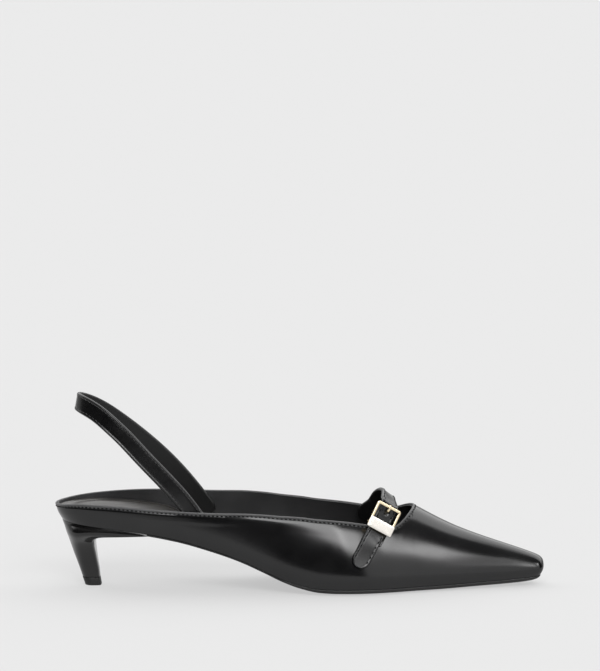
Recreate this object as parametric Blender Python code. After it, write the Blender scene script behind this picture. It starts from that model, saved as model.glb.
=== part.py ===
# Slingback pump, right shoe: pointed last with a small squared tip, kitten heel, sling strap
# round the ankle and a narrow buckled strap over the throat.
# Metres. +X runs to the toe, +Y to the inner side of the foot, +Z up. The shoe stands on z = 0
# with its origin at the middle of its length.

import math

import bmesh
import bpy
import numpy as np

# The last
LENGTH = 0.265
BALL_WIDTH = 0.0762
INSTEP_RISE = 0.040
RIM_RISE = 0.036
SEAT_HEIGHT = 0.0348
TOE_SPRING = 0.0052
TUCK = 0.0018
BACK_TUCK = 0.0033
TUCK_RISE = 0.009
THROAT_START = 0.664 * LENGTH
THROAT_FRONT = 0.7315 * LENGTH
THROAT_SQUARE = 3.2

# The upper, insole and sole
UPPER_WALL = 0.0016
INSOLE_RISE = 0.0098
INSOLE_DISH = 0.0010
INSOLE_FRONT = 0.9755 * LENGTH
SOLE_THICKNESS = 0.0033
SOLE_BEVEL = 0.0004
SOLE_CROWN = 0.33
TOUCH = 0.0003

# The heel and its top lift
WING_LENGTH = 0.192 * LENGTH
LIFT_LENGTH = 0.0096
LIFT_WIDTH = 0.0108
LIFT_HEIGHT = 0.0046
LIFT_LEAN = 0.15 * LIFT_LENGTH
HEEL_ROUND = 0.45
HEEL_TAPER = 0.14
HEEL_BREAST = 0.49
HEEL_SWEEP = 0.30

# The straps
OUTER_SLING_WIDTH = 0.0094
INNER_SLING_WIDTH = 0.0101
SLING_THICKNESS = 0.002
SLING_HEIGHT = 0.1004
SLING_BACK = 0.0464 * LENGTH
SLING_LEAN = math.radians(10.0)
SLING_TILT = 0.22
SLING_END_HEIGHT = 0.0350
OUTER_SLING_END = 0.3038 * LENGTH
INNER_SLING_END = 0.3170 * LENGTH
STRAP_WIDTH = 0.010
STRAP_THICKNESS = 0.0018
STRAP_CREST = 0.0502
STRAP_GAP = 0.0005
TAB_WIDTH = 0.011
TAB_LENGTH = 0.0085
TAB_THICKNESS = 0.0007
TAB_DROP = 0.0012
TAB_RAMP = 0.005

# The buckle
BUCKLE_WIDTH = 0.0142
BUCKLE_LENGTH = 0.0152
BUCKLE_THICKNESS = 0.001
BUCKLE_SIDE_BAR = 0.0013
BUCKLE_TOP_BAR = 0.0015
BUCKLE_LOW_BAR = 0.0022
BUCKLE_CORNER = 0.0012
PLATE_LENGTH = 0.0059
PLATE_THICKNESS = 0.0009
PLATE_OVERLAP = 0.0001
HINGE_BAR = 0.0012
PRONG_WIDTH = 0.0014
PRONG_THICKNESS = 0.0009
PRONG_HOLE = 0.0022
PRONG_INSET = 0.0024
PRONG_BEND = 0.0012
PRONG_OVERHANG = 0.0003

# Sections of the last from heel to toe: half widths as shares of the ball width, the ridge over
# the instep as a share of its rise, the topline as shares of the rim's rise.
LAST_COLUMNS = ("along", "outer", "inner", "ridge", "roof", "outer_rim", "inner_rim")
LAST = (
    (0.0000, 0.000, 0.000, 1.50, 0.00, 0.236, 0.236),
    (0.0049, 0.092, 0.092, 1.50, 0.00, 0.245, 0.241),
    (0.0181, 0.169, 0.168, 1.50, 0.00, 0.270, 0.257),
    (0.0396, 0.236, 0.233, 1.50, 0.00, 0.307, 0.286),
    (0.0755, 0.297, 0.291, 1.50, 0.00, 0.337, 0.331),
    (0.1208, 0.332, 0.322, 1.51, 0.00, 0.360, 0.383),
    (0.1887, 0.356, 0.333, 1.53, 0.00, 0.382, 0.461),
    (0.2642, 0.364, 0.323, 1.56, 0.00, 0.458, 0.574),
    (0.3396, 0.378, 0.323, 1.57, 0.00, 0.600, 0.730),
    (0.4151, 0.409, 0.362, 1.56, 0.02, 0.808, 0.926),
    (0.4906, 0.451, 0.425, 1.53, 0.06, 0.992, 1.078),
    (0.5660, 0.494, 0.484, 1.44, 0.15, 1.012, 1.074),
    (0.6340, 0.488, 0.500, 1.29, 0.28, 0.942, 1.014),
    (0.6943, 0.428, 0.478, 1.13, 0.42, 0.867, 0.981),
    (0.7472, 0.358, 0.415, 0.960, 0.44, 0.847, 0.967),
    (0.8000, 0.294, 0.348, 0.778, 0.38, 0.600, 0.700),
    (0.8528, 0.235, 0.278, 0.624, 0.26, 0.500, 0.500),
    (0.9057, 0.181, 0.207, 0.492, 0.10, 0.400, 0.400),
    (0.9509, 0.139, 0.151, 0.378, -0.06, 0.300, 0.300),
    (0.9792, 0.117, 0.121, 0.295, -0.18, 0.200, 0.200),
    (0.9925, 0.100, 0.102, 0.240, -0.25, 0.150, 0.150),
    (0.9989, 0.071, 0.072, 0.180, -0.25, 0.100, 0.100),
    (1.0000, 0.034, 0.034, 0.100, -0.20, 0.050, 0.050),
    (1.0000, 0.000, 0.000, 0.000, 0.00, 0.000, 0.000),
)

# The sole's lower face and thickness from heel to toe
SOLE_COLUMNS = ("along", "arch", "spring", "thickness")
SOLE = (
    (0.000, 1.000, 0.000, 0.576),
    (0.079, 0.950, 0.000, 0.576),
    (0.170, 0.880, 0.000, 0.576),
    (0.249, 0.772, 0.000, 0.576),
    (0.313, 0.637, 0.000, 0.560),
    (0.377, 0.471, 0.000, 0.560),
    (0.426, 0.307, 0.000, 0.576),
    (0.464, 0.170, 0.000, 0.667),
    (0.500, 0.070, 0.000, 0.879),
    (0.540, 0.010, 0.000, 0.970),
    (0.574, 0.000, 0.000, 1.000),
    (0.774, 0.000, 0.000, 1.000),
    (0.868, 0.000, 0.120, 0.970),
    (0.943, 0.000, 0.300, 0.920),
    (0.974, 0.000, 0.480, 0.820),
    (0.989, 0.000, 0.680, 0.640),
    (1.000, 0.000, 0.850, 0.520),
)

# How far the insole's edge stands over the seam
INSOLE_COLUMNS = ("along", "rise")
INSOLE = (
    (0.000, 0.755),
    (0.038, 0.847),
    (0.087, 0.949),
    (0.174, 1.000),
    (0.226, 0.980),
    (0.245, 0.888),
    (0.264, 0.745),
    (0.283, 0.612),
    (0.302, 0.510),
    (0.340, 0.378),
    (0.377, 0.306),
    (0.453, 0.265),
    (0.566, 0.255),
    (1.000, 0.204),
)

# Rings of the heel from the top lift to the seat: along as shares of the wing's length, rises
# as shares of the way up to the seat at the back and to the sole's lower face in front.
HEEL_COLUMNS = ("back", "back_rise", "front", "front_rise", "half_width", "blend")
HEEL = (
    (0.279, 0.000, 0.468, 0.000, 0.50, 0.00),
    (0.256, 0.109, 0.460, 0.158, 0.52, 0.00),
    (0.223, 0.259, 0.444, 0.345, 0.57, 0.03),
    (0.191, 0.397, 0.430, 0.516, 0.65, 0.10),
    (0.163, 0.535, 0.418, 0.683, 0.76, 0.22),
    (0.144, 0.628, 0.420, 0.800, 0.87, 0.36),
    (0.128, 0.705, 0.434, 0.868, 1.00, 0.53),
    (0.111, 0.782, 0.478, 0.925, 1.18, 0.72),
    (0.097, 0.853, 0.600, 0.962, 1.38, 0.87),
    (0.084, 0.917, 0.800, 0.985, 1.56, 0.96),
    (0.073, 0.955, 1.000, 1.000, 1.66, 1.00),
)

# The sling strap from the back of the ankle to its ends: shares of the way forward, down on the
# outer and the inner side, and out
SLING_COLUMNS = ("forward", "outer_down", "inner_down", "aside")
SLING = (
    (0.036, 0.013, 0.018, 0.36),
    (0.158, 0.073, 0.092, 0.66),
    (0.264, 0.156, 0.176, 0.80),
    (0.384, 0.267, 0.280, 0.90),
    (0.500, 0.393, 0.386, 0.95),
    (0.620, 0.523, 0.505, 0.98),
    (0.800, 0.724, 0.716, 1.00),
    (0.905, 0.861, 0.862, 1.00),
    (1.000, 1.000, 1.000, 1.00),
)

# The instep strap over the collar, from the buckle's top to the inner wall: along the shoe as a
# share of its length, across as a share of the ball width, height as a share of the crest, and
# how far its face turns to the toe
STRAP_COLUMNS = ("along", "across", "height", "forward")
STRAP = (
    (0.6815, -0.245, 0.960, 0.50),
    (0.6810, -0.130, 0.982, 0.90),
    (0.6795, 0.000, 0.983, 0.80),
    (0.6750, 0.120, 0.958, 0.60),
    (0.6650, 0.205, 0.895, 0.38),
    (0.6560, 0.248, 0.815, 0.25),
)

# Places in the side view: along as a share of the length, height as a share of the crest
PLACE_COLUMNS = ("along", "height")
STRAP_INNER_END = (0.6434, 0.647)
STRAP_TAIL = ((0.6425, 0.573), (0.6306, 0.458), (0.6134, 0.316))
PLATE_CENTRE = (0.6623, 0.737)
BUCKLE_UP = (0.435, 0.300, 0.850)
BUCKLE_ACROSS = (0.854, 0.146, -0.504)

OUTER = -1
INNER = 1


def column(table, names, name):
    """One named column of a table of sections."""
    return np.array([row[names.index(name)] for row in table])


def smooth_step(value):
    value = np.clip(value, 0.0, 1.0)
    return value * value * (3.0 - 2.0 * value)


def spline(knots, values, flat_start=False, flat_end=False):
    """Second derivatives' cubic through the values; natural ends, or level ones where asked."""
    count = len(knots)
    step = np.diff(knots)
    slope = np.diff(values) / step
    matrix = np.zeros((count, count))
    right = np.zeros(count)
    for row in range(1, count - 1):
        matrix[row, row - 1] = step[row - 1]
        matrix[row, row] = 2.0 * (step[row - 1] + step[row])
        matrix[row, row + 1] = step[row]
        right[row] = 6.0 * (slope[row] - slope[row - 1])
    matrix[0, 0] = 2.0 * step[0] if flat_start else 1.0
    matrix[-1, -1] = 2.0 * step[-1] if flat_end else 1.0
    if flat_start:
        matrix[0, 1] = step[0]
        right[0] = 6.0 * slope[0]
    if flat_end:
        matrix[-1, -2] = step[-1]
        right[-1] = -6.0 * slope[-1]
    bend = np.linalg.solve(matrix, right)

    def at(where):
        where = np.clip(np.asarray(where, float), knots[0], knots[-1])
        cell = np.clip(np.searchsorted(knots, where, side="right") - 1, 0, count - 2)
        width = step[cell]
        ahead = (where - knots[cell]) / width
        behind = 1.0 - ahead
        return (behind * values[cell] + ahead * values[cell + 1]
                + ((behind ** 3 - behind) * bend[cell]
                   + (ahead ** 3 - ahead) * bend[cell + 1]) * width ** 2 / 6.0)

    return at


def steady(knots, values):
    """A cubic that never overshoots: level stretches of the table stay level."""
    step = np.diff(knots)
    slope = np.diff(values) / step
    tangent = np.zeros(len(knots))
    for row in range(1, len(knots) - 1):
        if slope[row - 1] * slope[row] > 0.0:
            near = 2.0 * step[row] + step[row - 1]
            far = step[row] + 2.0 * step[row - 1]
            tangent[row] = (near + far) / (near / slope[row - 1] + far / slope[row])
    tangent[0] = slope[0]
    tangent[-1] = slope[-1]

    def at(where):
        where = np.clip(np.asarray(where, float), knots[0], knots[-1])
        cell = np.clip(np.searchsorted(knots, where, side="right") - 1, 0, len(step) - 1)
        width = step[cell]
        share = (where - knots[cell]) / width
        return (values[cell] * (1.0 + 2.0 * share) * (1.0 - share) ** 2
                + tangent[cell] * width * share * (1.0 - share) ** 2
                + values[cell + 1] * share ** 2 * (3.0 - 2.0 * share)
                + tangent[cell + 1] * width * share ** 2 * (share - 1.0))

    return at


def last_column(name):
    return column(LAST, LAST_COLUMNS, name)


def knots_of_last():
    """A running length along the middle outline, one knot a section."""
    along = last_column("along") * LENGTH
    wide = (last_column("outer") + last_column("inner")) * BALL_WIDTH / 2.0
    legs = np.hypot(np.diff(along), np.diff(wide))
    return np.concatenate(([0.0], np.cumsum(legs))) / legs.sum()


KNOTS = knots_of_last()
along_at = spline(KNOTS, last_column("along") * LENGTH, True, True)
wide_at = {
    OUTER: spline(KNOTS, last_column("outer") * BALL_WIDTH),
    INNER: spline(KNOTS, last_column("inner") * BALL_WIDTH),
}
rim_at = {
    OUTER: spline(KNOTS, last_column("outer_rim") * RIM_RISE, True),
    INNER: spline(KNOTS, last_column("inner_rim") * RIM_RISE, True),
}
ridge_at = spline(KNOTS, last_column("ridge") * INSTEP_RISE, True)
roof_at = spline(KNOTS, last_column("roof"), True)

SOLE_ALONG = column(SOLE, SOLE_COLUMNS, "along") * LENGTH
SOLE_LOW = (column(SOLE, SOLE_COLUMNS, "arch") * SEAT_HEIGHT
            + column(SOLE, SOLE_COLUMNS, "spring") * TOE_SPRING)
sole_low_at = steady(SOLE_ALONG, SOLE_LOW)
sole_thick_at = steady(SOLE_ALONG, column(SOLE, SOLE_COLUMNS, "thickness") * SOLE_THICKNESS)
insole_rise_at = steady(column(INSOLE, INSOLE_COLUMNS, "along") * LENGTH,
                        column(INSOLE, INSOLE_COLUMNS, "rise") * INSOLE_RISE)

FINE = np.linspace(0.0, 1.0, 2001)
MIDDLE_Y = (wide_at[INNER](FINE).max() - wide_at[OUTER](FINE).max()) / 2.0


def run_of(along):
    """The running parameter where the last has come so far along."""
    return np.interp(along, along_at(FINE), FINE)


def seam_at(along):
    """Height of the edge where the upper meets the sole."""
    return sole_low_at(along) + sole_thick_at(along)


def plan_normal(side, run):
    """Outward normal of the plan outline, as its x part and its part away from the middle."""
    step = 1e-4
    low = np.clip(run - step, 0.0, 1.0)
    high = np.clip(run + step, 0.0, 1.0)
    forward = along_at(high) - along_at(low)
    outward = wide_at[side](high) - wide_at[side](low)
    forward = np.where((run <= 0.0) | (run >= 1.0), 0.0, forward)
    size = np.hypot(forward, outward)
    return -outward / size, forward / size


def sine_of(run, rise):
    """Sine of the section angle at which the skin stands so far over the seam."""
    share = np.clip(rise / np.maximum(ridge_at(run), 1e-6), 0.0, 1.0)
    roof = roof_at(run)
    line = 1.0 - roof
    square = np.sqrt(np.maximum(line ** 2 + 4.0 * roof * share, 0.0))
    return np.clip(2.0 * share / (line + square), 0.0, 1.0)


def skin(side, run, angle):
    """The upper's outer face: half an arch from the seam (angle 0) to the ridge (a quarter
    turn), its height a blend of sine and sine squared, tucked in towards the seam."""
    run = np.asarray(run, float)
    along = along_at(run)
    sine = np.sin(angle)
    roof = roof_at(run)
    rise = ridge_at(run) * ((1.0 - roof) * sine + roof * sine ** 2)
    back = np.clip(1.0 - along / (0.08 * LENGTH), 0.0, 1.0) ** 2
    depth = TUCK + (BACK_TUCK - TUCK) * back
    reach = TUCK_RISE * (1.0 - 0.45 * smooth_step((along / LENGTH - 0.75) / 0.21))
    tuck = depth * np.clip(1.0 - rise / reach, 0.0, 1.0) ** 2
    ahead, outward = plan_normal(side, run)
    across = (wide_at[side](run) - tuck * outward) * np.cos(angle)
    return np.stack([along - tuck * ahead, side * across, seam_at(along) + rise], axis=-1)


def skin_normal(side, run, angle):
    """Outward normal of the skin, turned level near the seam so that the edge stays square."""
    step = 1e-4
    inside = np.clip(run, 0.0, 1.0 - 2.0 * step)
    low = np.clip(inside - step, 0.0, 1.0)
    lengthways = skin(side, inside + step, angle) - skin(side, low, angle)
    upwards = skin(side, inside, angle + step) - skin(side, inside, angle - step)
    normal = np.cross(lengthways, upwards) * -side
    size = np.linalg.norm(normal, axis=-1, keepdims=True)
    normal = normal / np.maximum(size, 1e-12)
    rise = skin(side, inside, angle)[..., 2] - seam_at(along_at(inside))
    level = smooth_step(rise / (0.5 * TUCK_RISE))
    normal[..., 2] = np.where(normal[..., 2] < 0.0, normal[..., 2] * level, normal[..., 2])
    normal[..., 1] = np.where(run <= 0.0, 0.0, normal[..., 1])
    tip = np.broadcast_to(np.asarray(run) >= 1.0, normal.shape[:-1])
    normal[tip] = (1.0, 0.0, 0.0)
    return normal / np.linalg.norm(normal, axis=-1, keepdims=True)


def within(side, run, angle, depth):
    """A point so deep under the upper's outer face."""
    return skin(side, run, angle) - skin_normal(side, run, angle) * depth


def rim_angle(side, run):
    """Section angle of the topline; over the throat it closes to the ridge in a rounded U."""
    sine = sine_of(run, rim_at[side](run))
    share = np.clip((along_at(run) - THROAT_START) / (THROAT_FRONT - THROAT_START), 0.0, 1.0)
    closing = np.where(share > 0.9999, 0.0, np.sqrt(1.0 - share ** THROAT_SQUARE))
    return np.arccos(np.sqrt(1.0 - sine ** 2) * closing)


def on_skin(side, along, height, lift):
    """A point over the upper's outer face, from its place in the side view."""
    run = run_of(along)
    angle = np.arcsin(sine_of(run, height - seam_at(along)))
    return within(side, run, angle, -lift), skin_normal(side, run, angle)


def in_wall(side, along, height, depth):
    """A point inside the upper's wall, from its place in the side view."""
    return on_skin(side, along, height, -depth)


def material(name, colour, roughness, metallic=0.0):
    made = bpy.data.materials.new(name)
    made.use_nodes = True
    shader = made.node_tree.nodes["Principled BSDF"]
    shader.inputs["Base Color"].default_value = (*colour, 1.0)
    shader.inputs["Roughness"].default_value = roughness
    shader.inputs["Metallic"].default_value = metallic
    return made


def solid(name, points, faces, finish):
    """One closed body: doubled points merged, faces turned outwards, in the shoe's own frame."""
    placed = np.asarray(points, float) - np.array([LENGTH / 2.0, MIDDLE_Y, 0.0])
    mesh = bpy.data.meshes.new(name)
    mesh.from_pydata(placed.tolist(), [], faces)
    body = bmesh.new()
    body.from_mesh(mesh)
    bmesh.ops.remove_doubles(body, verts=body.verts, dist=2e-6)
    bmesh.ops.recalc_face_normals(body, faces=body.faces)
    if body.calc_volume(signed=True) < 0.0:
        bmesh.ops.reverse_faces(body, faces=body.faces)
    body.to_mesh(mesh)
    body.free()
    mesh.shade_smooth()
    mesh.set_sharp_from_angle(angle=math.radians(40.0))
    thing = bpy.data.objects.new(name, mesh)
    bpy.context.collection.objects.link(thing)
    mesh.materials.append(finish)
    return thing


def net(rows, columns, start=0):
    """Quads of a grid whose points are numbered row by row."""
    return [(start + row * columns + place,
             start + row * columns + place + 1,
             start + (row + 1) * columns + place + 1,
             start + (row + 1) * columns + place)
            for row in range(rows - 1) for place in range(columns - 1)]


def loft(rings, closed_ends=True):
    """Points and faces of a body through closed rings of equal count."""
    count = len(rings[0])
    points = np.concatenate(rings)
    faces = [(ring * count + place,
              ring * count + (place + 1) % count,
              (ring + 1) * count + (place + 1) % count,
              (ring + 1) * count + place)
             for ring in range(len(rings) - 1) for place in range(count)]
    if closed_ends:
        faces.append(tuple(range(count)))
        faces.append(tuple(range((len(rings) - 1) * count, len(rings) * count)))
    return points, faces


def columns_of_upper():
    """Running parameters of the upper's columns, closer together round the throat."""
    throat = THROAT_START + (THROAT_FRONT - THROAT_START) * np.sin(np.linspace(0.0, math.pi / 2, 9))
    halves = np.interp(np.arange(0, len(KNOTS) - 0.5, 0.5), np.arange(len(KNOTS)), KNOTS)
    clear = np.abs(along_at(halves) - (THROAT_START + THROAT_FRONT) / 2.0)
    keep = clear > (THROAT_FRONT - THROAT_START) / 2.0 + 0.002
    return np.unique(np.concatenate((halves[keep], run_of(throat))))


def upper(finish):
    """Hollow shell: outer and inner faces of both sides, rims round the collar and underneath."""
    rows = 11
    runs = columns_of_upper()
    columns = len(runs)
    points = []
    faces = []
    for side in (OUTER, INNER):
        top = rim_angle(side, runs)
        angle = np.linspace(0.0, 1.0, rows)[:, None] * top[None, :]
        spread = np.broadcast_to(runs, angle.shape)
        start = len(points)
        points.extend(skin(side, spread, angle).reshape(-1, 3))
        points.extend(within(side, spread, angle, UPPER_WALL).reshape(-1, 3))
        inner = start + rows * columns
        faces += net(rows, columns, start) + net(rows, columns, inner)
        for place in range(columns - 1):
            low = (start + place, start + place + 1, inner + place + 1, inner + place)
            faces.append(low)
            if along_at(runs[place + 1]) <= THROAT_FRONT + 1e-6:
                faces.append(tuple(corner + (rows - 1) * columns for corner in low))
    return solid("upper", points, faces, finish)


def slab(name, near, far, finish, across=8, dish=0.0, belly=0.0):
    """A body between two edge strips, each a list of rows of points from low to high; the top
    sags by the dish in the middle, the bottom by the belly, level nearly to its edges."""
    share = np.linspace(0.0, 1.0, across + 1)[:, None, None]
    aside = 2.0 * share[..., 0] - 1.0
    low = near[0] + (far[0] - near[0]) * share
    low[..., 2] -= belly * (1.0 - aside ** 4)
    high = near[-1] + (far[-1] - near[-1]) * share
    high[..., 2] -= dish * (1.0 - aside ** 2)
    loop = [*low, *far[1:-1], *high[::-1], *near[1:-1][::-1]]
    rings = [np.array([strip[place] for strip in loop]) for place in range(len(near[0]))]
    points, faces = loft(rings, closed_ends=False)
    count = len(loop)
    sides = len(near) - 2
    for first in (0, (len(rings) - 1) * count):
        bottom = list(range(first, first + across + 1))
        top = list(range(first + across + sides + 1, first + 2 * across + sides + 2))[::-1]
        if sides:
            right = [bottom[-1], *range(first + across + 1, first + across + sides + 1), top[-1]]
            left = [top[0], *range(first + 2 * across + sides + 2, first + count), bottom[0]]
            faces.append(tuple(bottom[:-1] + right + top[::-1][1:] + left[1:-1]))
        else:
            faces.append(tuple(bottom + top[::-1]))
    return solid(name, points, faces, finish)


def edge_runs(first, last, parts):
    """Running parameters between two places, closer together at the ends of the shoe."""
    inside = KNOTS[(KNOTS > first) & (KNOTS < last)]
    ends = np.unique(np.concatenate(([first], inside, [last])))
    steps = np.linspace(0.0, len(ends) - 1.0, parts)
    return np.interp(steps, np.arange(len(ends)), ends)


def insole(finish):
    """Lasted insole with its heel sock: fills the seat and thins out towards the toe."""
    runs = edge_runs(0.0, float(run_of(INSOLE_FRONT)), 42)
    strips = {}
    for side in (OUTER, INNER):
        rise = insole_rise_at(along_at(runs))
        strips[side] = [within(side, runs, np.arcsin(sine_of(runs, rise * share)),
                               UPPER_WALL + TOUCH) for share in (0.0, 0.33, 0.66, 1.0)]
        for share, strip in zip((0.0, 0.33, 0.66, 1.0), strips[side]):
            strip[:, 2] = seam_at(along_at(runs)) + rise * share
    return slab("insole", strips[OUTER], strips[INNER], finish, across=8, dish=INSOLE_DISH)


def outsole(finish):
    """Thin sole from the heel's wing to the toe, its tread rounded up towards the edges."""
    start = float(run_of(WING_LENGTH + TOUCH))
    runs = edge_runs(start, 1.0, 44)
    crown = SOLE_CROWN * sole_thick_at(along_at(runs))
    strips = {}
    for side in (OUTER, INNER):
        edge = skin(side, runs, 0.0 * runs)
        ahead, outward = plan_normal(side, runs)
        top = edge.copy()
        top[:, 2] -= TOUCH
        low = edge.copy()
        low[:, 0] -= SOLE_BEVEL * ahead
        low[:, 1] -= side * SOLE_BEVEL * outward * (runs < 1.0)
        low[:, 2] = sole_low_at(along_at(runs)) + crown
        strips[side] = [low, top]
    return slab("outsole", strips[OUTER], strips[INNER], finish, across=8, belly=crown)


def heel_plan(share):
    """Half width of a heel ring from back to front: round behind, a little narrower in front."""
    behind = np.sqrt(np.clip(1.0 - (1.0 - share / HEEL_ROUND) ** 2, 0.0, 1.0))
    ahead = 1.0 - HEEL_TAPER * ((share - HEEL_ROUND) / (1.0 - HEEL_ROUND)) ** 2
    return np.where(share < HEEL_ROUND, behind, ahead)


def seat_outline(side, places=14):
    """Outline of the seat along the seam, from the back to the front of the heel's wing."""
    runs = float(run_of(WING_LENGTH)) * (1.0 - np.cos(np.linspace(0.0, math.pi / 2, places)))
    return runs, skin(side, runs, 0.0 * runs)


def heel_ring(back, front, half_width, blend):
    """One ring of the heel: a slanted chord from back to front, as wide as the column or as the
    seat above it; ahead of the breast the wall stands straight under the seat."""
    halves = []
    for side in (OUTER, INNER):
        seat = seat_outline(side)[1]
        share = (seat[:, 0] - seat[0, 0]) / (seat[-1, 0] - seat[0, 0])
        chord = np.array(back) + (np.array(front) - np.array(back)) * share[:, None]
        beside = np.abs(seat[:, 1])
        above = np.interp(chord[:, 0], seat[:, 0], beside)
        seat_wide = beside + (above - beside) * smooth_step(share)
        ahead = smooth_step((chord[:, 0] / WING_LENGTH - HEEL_BREAST) / HEEL_SWEEP)
        mix = blend + (1.0 - blend) * ahead
        across = (1.0 - mix) * half_width * heel_plan(share) + mix * seat_wide
        halves.append(np.stack([chord[:, 0], side * across, chord[:, 1]], axis=-1))
    return halves


def ring_body(name, rings, finish):
    """A body through rings given as an outer and an inner half from back to front."""
    count = len(rings[0][0])
    loops = [np.concatenate((half[0], half[1][::-1])) for half in rings]
    points, faces = loft(loops, closed_ends=False)
    for first in (0, (len(loops) - 1) * 2 * count):
        faces += [(first + place, first + place + 1,
                   first + 2 * count - 2 - place, first + 2 * count - 1 - place)
                  for place in range(count - 1)]
    return solid(name, points, faces, finish)


def heel(finish):
    """Covered kitten heel: slim column that flares into a long thin wing under the seat."""
    seat_back = float(seam_at(0.0)) - TOUCH
    wing_low = float(sole_low_at(WING_LENGTH) + SOLE_CROWN * sole_thick_at(WING_LENGTH))
    rings = []
    for row in HEEL:
        ring = dict(zip(HEEL_COLUMNS, row))
        rings.append(heel_ring(
            (ring["back"] * WING_LENGTH,
             LIFT_HEIGHT + ring["back_rise"] * (seat_back - LIFT_HEIGHT)),
            (ring["front"] * WING_LENGTH,
             LIFT_HEIGHT + ring["front_rise"] * (wing_low - LIFT_HEIGHT)),
            ring["half_width"] * LIFT_WIDTH, ring["blend"]))
    seat = []
    for side in (OUTER, INNER):
        edge = seat_outline(side)[1].copy()
        edge[:, 2] -= TOUCH
        seat.append(edge)
    rings.append(seat)
    return ring_body("heel", rings, finish)


def top_lift(finish):
    """Wearing piece under the heel, flat on the floor."""
    back = column(HEEL, HEEL_COLUMNS, "back")[0] * WING_LENGTH
    front = back + LIFT_LENGTH
    top = LIFT_HEIGHT - TOUCH
    rings = [
        heel_ring((back + LIFT_LEAN, 0.0), (front + 0.5 * LIFT_LEAN, 0.0), 0.49 * LIFT_WIDTH, 0.0),
        heel_ring((back, top), (front, top), 0.5 * LIFT_WIDTH, 0.0),
    ]
    return ring_body("top_lift", rings, finish)


def band(name, centre, outward, width, thickness, finish, stations, round_ends=(True, True)):
    """A flat strap swept along a centreline; its flat side faces outward, its ends are round. Its
    width is one value, or one for each end."""
    legs = np.linalg.norm(np.diff(centre, axis=0), axis=1)
    knots = np.concatenate(([0.0], np.cumsum(legs)))
    total = knots[-1]
    path = [spline(knots, centre[:, axis]) for axis in range(3)]
    facing = [spline(knots, outward[:, axis]) for axis in range(3)]
    ends = np.broadcast_to(width, 2) / 2.0
    tip = 1.0 - np.cos(np.radians([0.0, 25.0, 50.0, 75.0]))
    start = ends[0] * tip if round_ends[0] else np.zeros(1)
    finish_run = total - (ends[1] * tip[::-1] if round_ends[1] else np.zeros(1))
    middle = np.linspace(start[-1], finish_run[0], stations)[1:-1]
    where = np.concatenate((start, middle, finish_run))
    radius = np.interp(where, (0.0, total), ends)
    spot = np.stack([one(where) for one in path], axis=-1)
    step = total * 1e-4
    tangent = np.stack([one(where + step) - one(where - step) for one in path], axis=-1)
    tangent /= np.linalg.norm(tangent, axis=1, keepdims=True)
    normal = np.stack([one(where) for one in facing], axis=-1)
    side = np.cross(tangent, normal)
    side /= np.linalg.norm(side, axis=1, keepdims=True)
    normal = np.cross(side, tangent)
    from_start = where if round_ends[0] else radius
    from_finish = total - where if round_ends[1] else radius
    short = np.clip(1.0 - np.minimum(from_start, from_finish) / radius, 0.0, 0.985)
    half = radius * np.sqrt(1.0 - short ** 2)
    edge = np.minimum(0.3 * thickness, 0.5 * half)
    rings = []
    for place in range(len(where)):
        wide = half[place]
        cut = edge[place]
        corners = ((wide, thickness / 2 - cut), (wide - cut, thickness / 2),
                   (cut - wide, thickness / 2), (-wide, thickness / 2 - cut),
                   (-wide, cut - thickness / 2), (cut - wide, -thickness / 2),
                   (wide - cut, -thickness / 2), (wide, cut - thickness / 2))
        rings.append(np.array([spot[place] + side[place] * across + normal[place] * out
                               for across, out in corners]))
    points, faces = loft(rings)
    return solid(name, points, faces, finish)


def sling_half(side, end_along):
    """Centreline and outward directions of one side of the sling, from the back to its end."""
    depth = UPPER_WALL + STRAP_GAP + SLING_THICKNESS / 2.0
    forward = column(SLING, SLING_COLUMNS, "forward")
    down = column(SLING, SLING_COLUMNS, "outer_down" if side == OUTER else "inner_down")
    aside = column(SLING, SLING_COLUMNS, "aside")
    along = SLING_BACK + forward * (end_along - SLING_BACK)
    height = SLING_HEIGHT + down * (SLING_END_HEIGHT - SLING_HEIGHT)
    points = []
    facing = []
    for place, spot in enumerate(along):
        rim = float(seam_at(spot) + rim_at[side](run_of(spot)))
        wall, normal = in_wall(side, spot, min(height[place], rim), depth)
        points.append((spot, wall[1] * aside[place], height[place]))
        level = smooth_step((height[place] - rim) / (0.1 * SLING_HEIGHT))
        turn = math.radians(90.0) * min(1.0, aside[place])
        out = np.array([-math.cos(turn) * math.cos(SLING_LEAN), side * math.sin(turn),
                        math.cos(turn) * math.sin(SLING_LEAN) + SLING_TILT * math.sin(turn)])
        facing.append(normal * (1.0 - level) + out * level)
    return points, facing


def sling_strap(finish):
    """Strap round the ankle, both ends sewn inside the upper's walls."""
    near, near_facing = sling_half(OUTER, OUTER_SLING_END)
    far, far_facing = sling_half(INNER, INNER_SLING_END)
    back = [(SLING_BACK, 0.0, SLING_HEIGHT)]
    back_facing = [(-math.cos(SLING_LEAN), 0.0, math.sin(SLING_LEAN))]
    centre = np.array(near[::-1] + back + far)
    facing = np.array(near_facing[::-1] + back_facing + far_facing)
    return band("sling_strap", centre, facing, (OUTER_SLING_WIDTH, INNER_SLING_WIDTH),
                SLING_THICKNESS, finish, 44)


def side_view(place):
    """Along and height of a place given in shares."""
    shares = dict(zip(PLACE_COLUMNS, place))
    return shares["along"] * LENGTH, shares["height"] * STRAP_CREST


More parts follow.
